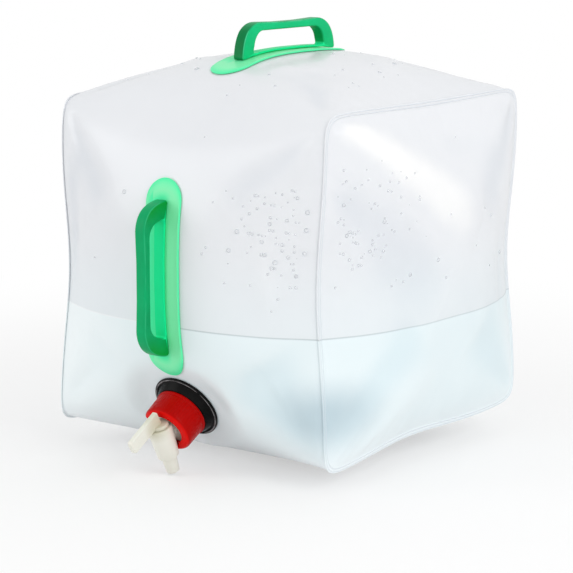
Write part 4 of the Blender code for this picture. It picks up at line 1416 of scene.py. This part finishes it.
class CARRIER_OT_collar(bpy.types.Operator):
    """The red collar with its C-shaped front lip, ribs and thread"""

    bl_idname = "carrier.collar"
    bl_label = "Collar"

    def execute(self, context):
        # A profile is carried round the neck's axis. Over the notch, the heights above the disc are scaled down by a
        # smooth step of the turn, and the inward lip fades near the notch's ends. The ribs are a cosine of the turn,
        # and the thread is a four-cornered section that climbs by its pitch with each turn.
        bag, tap = carrier().bag, carrier().tap
        steps = 240
        turn = np.linspace(0, 2 * np.pi, steps, endpoint=False)
        lip = tap.neck_length + 3 * bag.gap + tap.gasket + tap.disc
        back = tap.dish_height + bag.gap
        bore = tap.neck_radius + tap.thread_height + bag.gap
        foot = tap.collar_radius + tap.collar_flare
        skirt, step, draft, ribs_from = 0.0022, 0.0027, 0.0003, 0.0032
        corners = [
            (bore, lip), (bore, back), (foot, back), (foot, back + skirt), (tap.collar_radius + draft, back + step),
            (tap.collar_radius, tap.collar_front), (tap.lip_radius, tap.collar_front),
            (tap.lip_radius, tap.collar_front - tap.lip_depth),
            (tap.collar_mouth, tap.collar_front - tap.lip_depth), (tap.collar_mouth, lip),
        ]
        nose = min(tap.collar_nose, (tap.collar_radius - tap.collar_mouth) * 0.72)
        radii = [0.0002, 0.0003, 0.0006, 0.0004, 0.0004, nose, 0.0009, 0.0009, 0.0004, 0.0002]
        longest = 0.0009
        profile = finer(rounded(corners, radii, 7), longest)
        radius = np.repeat(profile[:, :1], steps, 1)
        height = np.repeat(profile[:, 1:], steps, 1)
        span = math.radians(tap.notch_end - tap.notch_start) / 2
        centre = math.radians(tap.notch_start) + span
        offset = (turn - centre + np.pi) % (2 * np.pi) - np.pi
        steep, gentle = (0.05, 0.11), (0.10, 0.36)
        lead, reach = np.where(offset > 0, np.transpose([steep]), np.transpose([gentle]))
        rim = eased((np.abs(offset) - abs(span) + lead) / reach)
        notch = tap.notch_floor / (tap.collar_front - lip)
        scale = notch + (1 - notch) * rim
        above = np.maximum(height - lip, 0)
        height = np.where(above > 0, lip + above * scale, height)
        from_start = (turn - math.radians(tap.notch_start)) % (2 * np.pi)
        from_end = (math.radians(tap.notch_end) - turn) % (2 * np.pi)
        starts = np.clip((from_start - 0.25) / 0.50, 0, 1)
        ends = np.clip((from_end - 0.05) / 0.60, 0, 1)
        held = eased(starts * ends)
        radius = np.where(radius < tap.collar_mouth, radius + (tap.collar_mouth - radius) * (1 - held), radius)
        ribbed = (radius > tap.collar_radius - 0.0005) & (height > back + ribs_from)
        wave = np.cos(tap.ribs * turn)[None]
        fade = 0.0015
        radius = radius + np.where(ribbed, tap.rib * wave * np.clip((lip + fade - height) / fade, 0, 1), 0)
        points = np.stack([radius * np.cos(turn), radius * np.sin(turn), height], -1)
        # Painted shade between the ribs and in a band near the skirt's step.
        rib_shade = np.where(ribbed, 0.5 - 0.5 * wave, 0) + np.exp(-(((height - back - 0.0030) / 0.0006) ** 2))
        # Painted highlight on the front edge of the rim.
        front = np.clip((height - lip - (tap.collar_front - lip) * scale * 0.80) / 0.001, 0, 1) * (height > lip)
        wind = np.linspace(0, 2 * np.pi * tap.thread_turns, 97)
        root, crest, sunk = 0.0011, 0.0006, bore + 0.0004
        section = np.array([(sunk, -root), (tap.neck_radius + bag.gap, -crest),
                            (tap.neck_radius + bag.gap, crest), (sunk, root)])
        level = tap.thread_start + tap.thread_pitch * wind / (2 * np.pi)
        ridge = np.stack(np.broadcast_arrays(
            section[None, :, 0] * np.cos(wind)[:, None], section[None, :, 0] * np.sin(wind)[:, None],
            section[None, :, 1] + level[:, None]), -1)
        last = 4 * len(wind)
        caps = np.array([(3, 2, 1, 0), (last - 4, last - 3, last - 2, last - 1)])
        shell = built("tap_collar", moved(points, tap_matrix(tap)), grid_faces(len(points), steps, wrap_rows=True),
                      painted={"rib_shade": np.clip(rib_shade, 0, 1), "front": front})
        # The thread, inside the collar, is painted all in shade.
        thread = built("collar_thread", moved(ridge, tap_matrix(tap)), grid_faces(len(ridge), 4), caps,
                       painted={"rib_shade": np.ones(last), "front": np.zeros(last)})
        work = bmesh.new()
        work.from_mesh(shell)
        work.from_mesh(thread)
        work.to_mesh(shell)
        work.free()
        bpy.data.meshes.remove(thread)
        fitted(shown("tap_collar", shell, collar_finish(), 45), "spigot", "collar_red", "screw_collar")
        return {"FINISHED"}


axis_radius = 0.0005


def key_radius_at(tap, height):
    """The key's outer radius at a height above its centre, along its taper."""
    return tap.key_radius - tap.key_taper * (tap.barrel_top - height) / (tap.barrel_top + tap.barrel_bottom)


class CARRIER_OT_tap_body(bpy.types.Operator):
    """The tap's disc, inlet tube and barrel"""

    bl_idname = "carrier.tap_body"
    bl_label = "Tap Body"

    def execute(self, context):
        # A turned disc with its tube is joined to a turned barrel. The key's tapered seat and the port are cut out.
        bag, tap = carrier().bag, carrier().tap
        neck, key = tap_matrix(tap), tap_matrix(tap, True)
        disc = tap.neck_length + 2 * bag.gap + tap.gasket
        disc_top = disc + tap.disc
        end = tap.key_distance - (tap.key_radius + tap.barrel_bottom_radius) / 2
        corners = [
            (tap.inlet_bore, end), (tap.inlet, end), (tap.inlet, disc_top),
            (tap.disc_radius, disc_top), (tap.disc_radius, disc), (tap.inlet_bore, disc),
        ]
        profile = rounded(corners, [0.0003, 0.0003, 0.0012, 0.0005, 0.0004, 0.0003], 5)
        finish = ivory_finish()
        made = shown("tap_valve", turned_mesh("tap_valve", profile, 96, neck), finish, 35)
        outer = rounded(
            [(axis_radius, tap.barrel_top), (tap.barrel_top_radius, tap.barrel_top),
             (tap.barrel_bottom_radius, -tap.barrel_bottom), (axis_radius, -tap.barrel_bottom)],
            [0.0001, 0.0009, 0.0007, 0.0001], 5,
        )
        barrel = shown("barrel", capped_mesh("barrel", outer, 80, key), finish)
        combined(made, barrel, "UNION")
        over = 0.004
        top, foot = tap.barrel_top + over, -tap.barrel_bottom - over
        seat = [(key_radius_at(tap, top) + tap.key_play, top), (key_radius_at(tap, foot) + tap.key_play, foot)]
        combined(made, shown("seat", capped_mesh("seat", seat, 72, key), finish), "DIFFERENCE")
        bore = [(tap.inlet_port, disc_top), (tap.inlet_port, tap.key_distance)]
        combined(made, shown("bore", capped_mesh("bore", bore, 44, neck), finish), "DIFFERENCE")
        fitted(smoothed(made), "spigot", "ivory", "tap_body")
        return {"FINISHED"}


def rounded_bar(reach, width, height, corner, edge):
    """A flat bar along -Y: its section is a box with rounded edges, and it narrows into a rounded end.

    Rows are rings along the bar. A ring at a share of the end corner keeps its box less the corner's drop,
    corner times 1 minus the root of 1 - share squared.
    """
    turn = np.concatenate([np.pi / 4 + np.pi / 2 * side + np.linspace(-np.pi / 4, np.pi / 4, 6) for side in range(4)])
    across = np.repeat([1, -1, -1, 1], 6)
    upward = np.repeat([1, 1, -1, -1], 6)
    share = np.sin(np.linspace(0, np.pi / 2, 8))
    reached = np.concatenate([np.linspace(0, reach - corner, 12), reach - corner + corner * share[1:]])
    drop = np.concatenate([np.zeros(12), corner * (1 - np.sqrt(1 - share[1:] ** 2))])[:, None]
    small = np.minimum(drop, width / 2 - edge - 0.0002)
    x = across * (width / 2 - edge - small * 0.55) + edge * np.cos(turn)
    z = upward * (height / 2 - edge - drop) + edge * np.sin(turn)
    y = np.broadcast_to(-reached[:, None], x.shape)
    points = np.stack([x, y, z], -1)
    poles = np.array([[0, 0, 0], [0, -reach, 0]], float)
    return np.concatenate([points.reshape(-1, 3), poles]), closed_faces(*points.shape[:2])


class CARRIER_OT_tap_key(bpy.types.Operator):
    """The turning key with its paddle and spout"""

    bl_idname = "carrier.tap_key"
    bl_label = "Tap Key"

    def execute(self, context):
        # A turned plug with the seal's groove and the spout's bore gets its side port cut out and its paddle joined on.
        bag, tap = carrier().bag, carrier().tap
        key = tap_matrix(tap, True)
        ring = key_radius_at(tap, tap.seal_height) + tap.key_play - bag.gap - tap.seal
        groove = ring - tap.seal - bag.gap
        groove_top = tap.seal_height + tap.seal + bag.gap
        groove_foot = tap.seal_height - tap.seal - bag.gap
        head = tap.barrel_top + bag.gap
        corners = [
            (0.0006, head + tap.head), (tap.head_radius, head + tap.head), (tap.head_radius, head),
            (key_radius_at(tap, head), head), (key_radius_at(tap, groove_top), groove_top), (groove, groove_top),
            (groove, groove_foot), (key_radius_at(tap, groove_foot), groove_foot),
            (key_radius_at(tap, -tap.barrel_bottom), -tap.barrel_bottom), (tap.spout_radius, -tap.spout_drop),
            (tap.key_bore, -tap.spout_drop), (tap.key_bore, tap.key_bore_top), (0.0006, tap.key_bore_top),
        ]
        radii = [0.0001, 0.0010, 0.0004, 0.0001, 0.0001, 0.0002, 0.0002, 0.0001, 0.0008, 0.0004, 0.0003, 0.0003, 0.0001]
        finish = ivory_finish()
        made = shown("tap_plug", capped_mesh("tap_plug", rounded(corners, radii, 4), 72, key), finish, 35)
        droop = math.radians(tap.tilt - tap.key_tilt)
        across = key @ Matrix.Rotation(-math.pi / 2 - droop, 4, "X")
        port = [(tap.port, 0.0), (tap.port, tap.key_radius + 0.004)]
        combined(made, shown("port", capped_mesh("port", port, 46, across), finish), "DIFFERENCE")
        points, faces = rounded_bar(
            tap.paddle_length, tap.paddle_thickness, tap.paddle_height, tap.paddle_corner, tap.paddle_edge
        )
        lifted = key @ Matrix.Translation((0, bag.gap, tap.paddle_lift)) @ Matrix.Rotation(droop, 4, "X")
        paddle = shown("paddle", built("paddle", moved(points, lifted), *faces), finish)
        combined(made, paddle, "UNION")
        fitted(smoothed(made), "key", "ivory", "tap_key")
        return {"FINISHED"}


class CARRIER_OT_inner_parts(bpy.types.Operator):
    """Finishes for the neck, the gasket and the key's ring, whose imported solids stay"""

    bl_idname = "carrier.inner_parts"
    bl_label = "Inner Parts"

    def execute(self, context):
        tap = carrier().tap
        neck = plain_plastic("neck_black", tap.black, tuple(part * 2.2 for part in tap.black), 0.34)
        rubber = plain_plastic("seal_rubber", tap.rubber, tuple(part * 1.5 for part in tap.rubber), 0.62, 90)
        for node, finish in (("neck_fitment", neck), ("neck_gasket", rubber), ("key_o_ring", rubber)):
            coated(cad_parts[node].data, finish)
        return {"FINISHED"}


class CARRIER_OT_stage(bpy.types.Operator):
    """Pale floor, even sky, three soft lamps and the camera"""

    bl_idname = "carrier.stage"
    bl_label = "Stage"

    def execute(self, context):
        stage, bag = carrier().stage, carrier().bag
        scene = context.scene
        made = Finish("pale_floor", Roughness=0.9)
        darker = tuple(part * 0.985 for part in stage.floor)
        made.give(Base_Color=made.mix(made.ramp(made.noise(0.6, 2), 0.3, 0.7), stage.floor, darker))
        share = made.backdrop() * (0.50 + 0.50 * made.ramp(made.distance((0, 0, 0)), 0.20, 0.85))
        glow = made.node("ShaderNodeEmission", sockets={"Color": (1, 1, 1, 1), "Strength": 1.0})
        lit = Value(made, made.shader.outputs[0])
        made.feed(
            made.tree.nodes["Material Output"].inputs["Surface"],
            made.node("ShaderNodeMixShader", sockets={0: share, 1: lit, 2: glow}),
        )
        # A square grid of points on the floor's plane, just under the base.
        half, under = 14, -0.0004
        line = np.linspace(-half, half, 25)
        ground = np.stack(np.broadcast_arrays(line[:, None], line[None], np.float64(under)), -1)
        mesh = bpy.data.meshes.new("pale_floor")
        faces = grid_faces(len(line), len(line), wrap_columns=False)[:, ::-1]
        mesh.from_pydata(ground.reshape(-1, 3).tolist(), [], faces.tolist())
        shown("pale_floor", mesh, made.material)
        sky = bpy.data.worlds.new("even_sky")
        sky.use_nodes = True
        scene.world = sky
        around = Nodes(sky.node_tree)
        glow = sky.node_tree.nodes["Background"].inputs
        around.feed(glow["Color"], (1, 1, 1, 1))
        around.feed(glow["Strength"], around.backdrop() * (1 - stage.sky) + stage.sky)
        middle = Vector(bag_middle(bag))
        # Each lamp is its name, its place, its size across and its power; it faces the bag's middle.
        lamps = (
            ("key_lamp", (1.7, -0.5, 1.1), 1.0, stage.key),
            ("fill_lamp", (-1.5, -1.8, 0.8), 1.6, stage.fill),
            ("top_lamp", (0.3, 0.4, 1.9), 1.2, stage.top),
        )
        for name, spot, size, power in lamps:
            lamp = bpy.data.lights.new(name, "AREA")
            lamp.shape = "DISK"
            lamp.size = size
            lamp.energy = power
            hung = bpy.data.objects.new(name, lamp)
            hung.location = spot
            hung.rotation_mode = "QUATERNION"
            hung.rotation_quaternion = (hung.location - middle).to_track_quat("Z", "Y")
            scene.collection.objects.link(hung)
        # The camera turns round the bag's middle, tips down, and stands off from an aim beside that middle.
        eye = bpy.data.cameras.new("camera")
        eye.lens = stage.lens
        eye.sensor_width = sensor_width
        camera = bpy.data.objects.new("camera", eye)
        turn = Matrix.Rotation(math.radians(stage.azimuth), 4, "Z")
        tip = Matrix.Rotation(math.pi / 2 - math.radians(stage.elevation), 4, "X")
        stand = Matrix.Translation((stage.aim_right, stage.aim_up, stage.distance))
        camera.matrix_world = Matrix.Translation(middle) @ turn @ tip @ stand
        scene.collection.objects.link(camera)
        scene.camera = camera
        scene.view_settings.view_transform = "Standard"
        return {"FINISHED"}


class CARRIER_PT_panel(bpy.types.Panel):
    """Buttons for each piece of the carrier"""

    bl_label = "Water Carrier"
    bl_idname = "CARRIER_PT_panel"
    bl_space_type = "VIEW_3D"
    bl_region_type = "UI"
    bl_category = "Water Carrier"

    def draw(self, context):
        for operator in operators:
            self.layout.operator(operator.bl_idname)


operators = (
    CARRIER_OT_film_band, CARRIER_OT_side_panels, CARRIER_OT_water, CARRIER_OT_drops, CARRIER_OT_patches,
    CARRIER_OT_handles, CARRIER_OT_dish, CARRIER_OT_collar, CARRIER_OT_tap_body, CARRIER_OT_tap_key,
    CARRIER_OT_inner_parts, CARRIER_OT_stage,
)
classes = (
    BagSizes, WaterSizes, HandleSizes, TapSizes, StageSizes, CarrierSettings, *operators, CARRIER_PT_panel,
)


def register():
    """Register every class and the scene's settings."""
    for each in classes:
        bpy.utils.register_class(each)
    bpy.types.Scene.water_carrier = PointerProperty(type=CarrierSettings)


def unregister():
    """Take the settings and classes away again."""
    del bpy.types.Scene.water_carrier
    for each in reversed(classes):
        bpy.utils.unregister_class(each)


def main():
    """Build every piece in order."""
    register()
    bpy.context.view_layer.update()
    for operator in operators:
        group, name = operator.bl_idname.split(".")
        getattr(getattr(bpy.ops, group), name)()


if __name__ == "__main__":
    main()
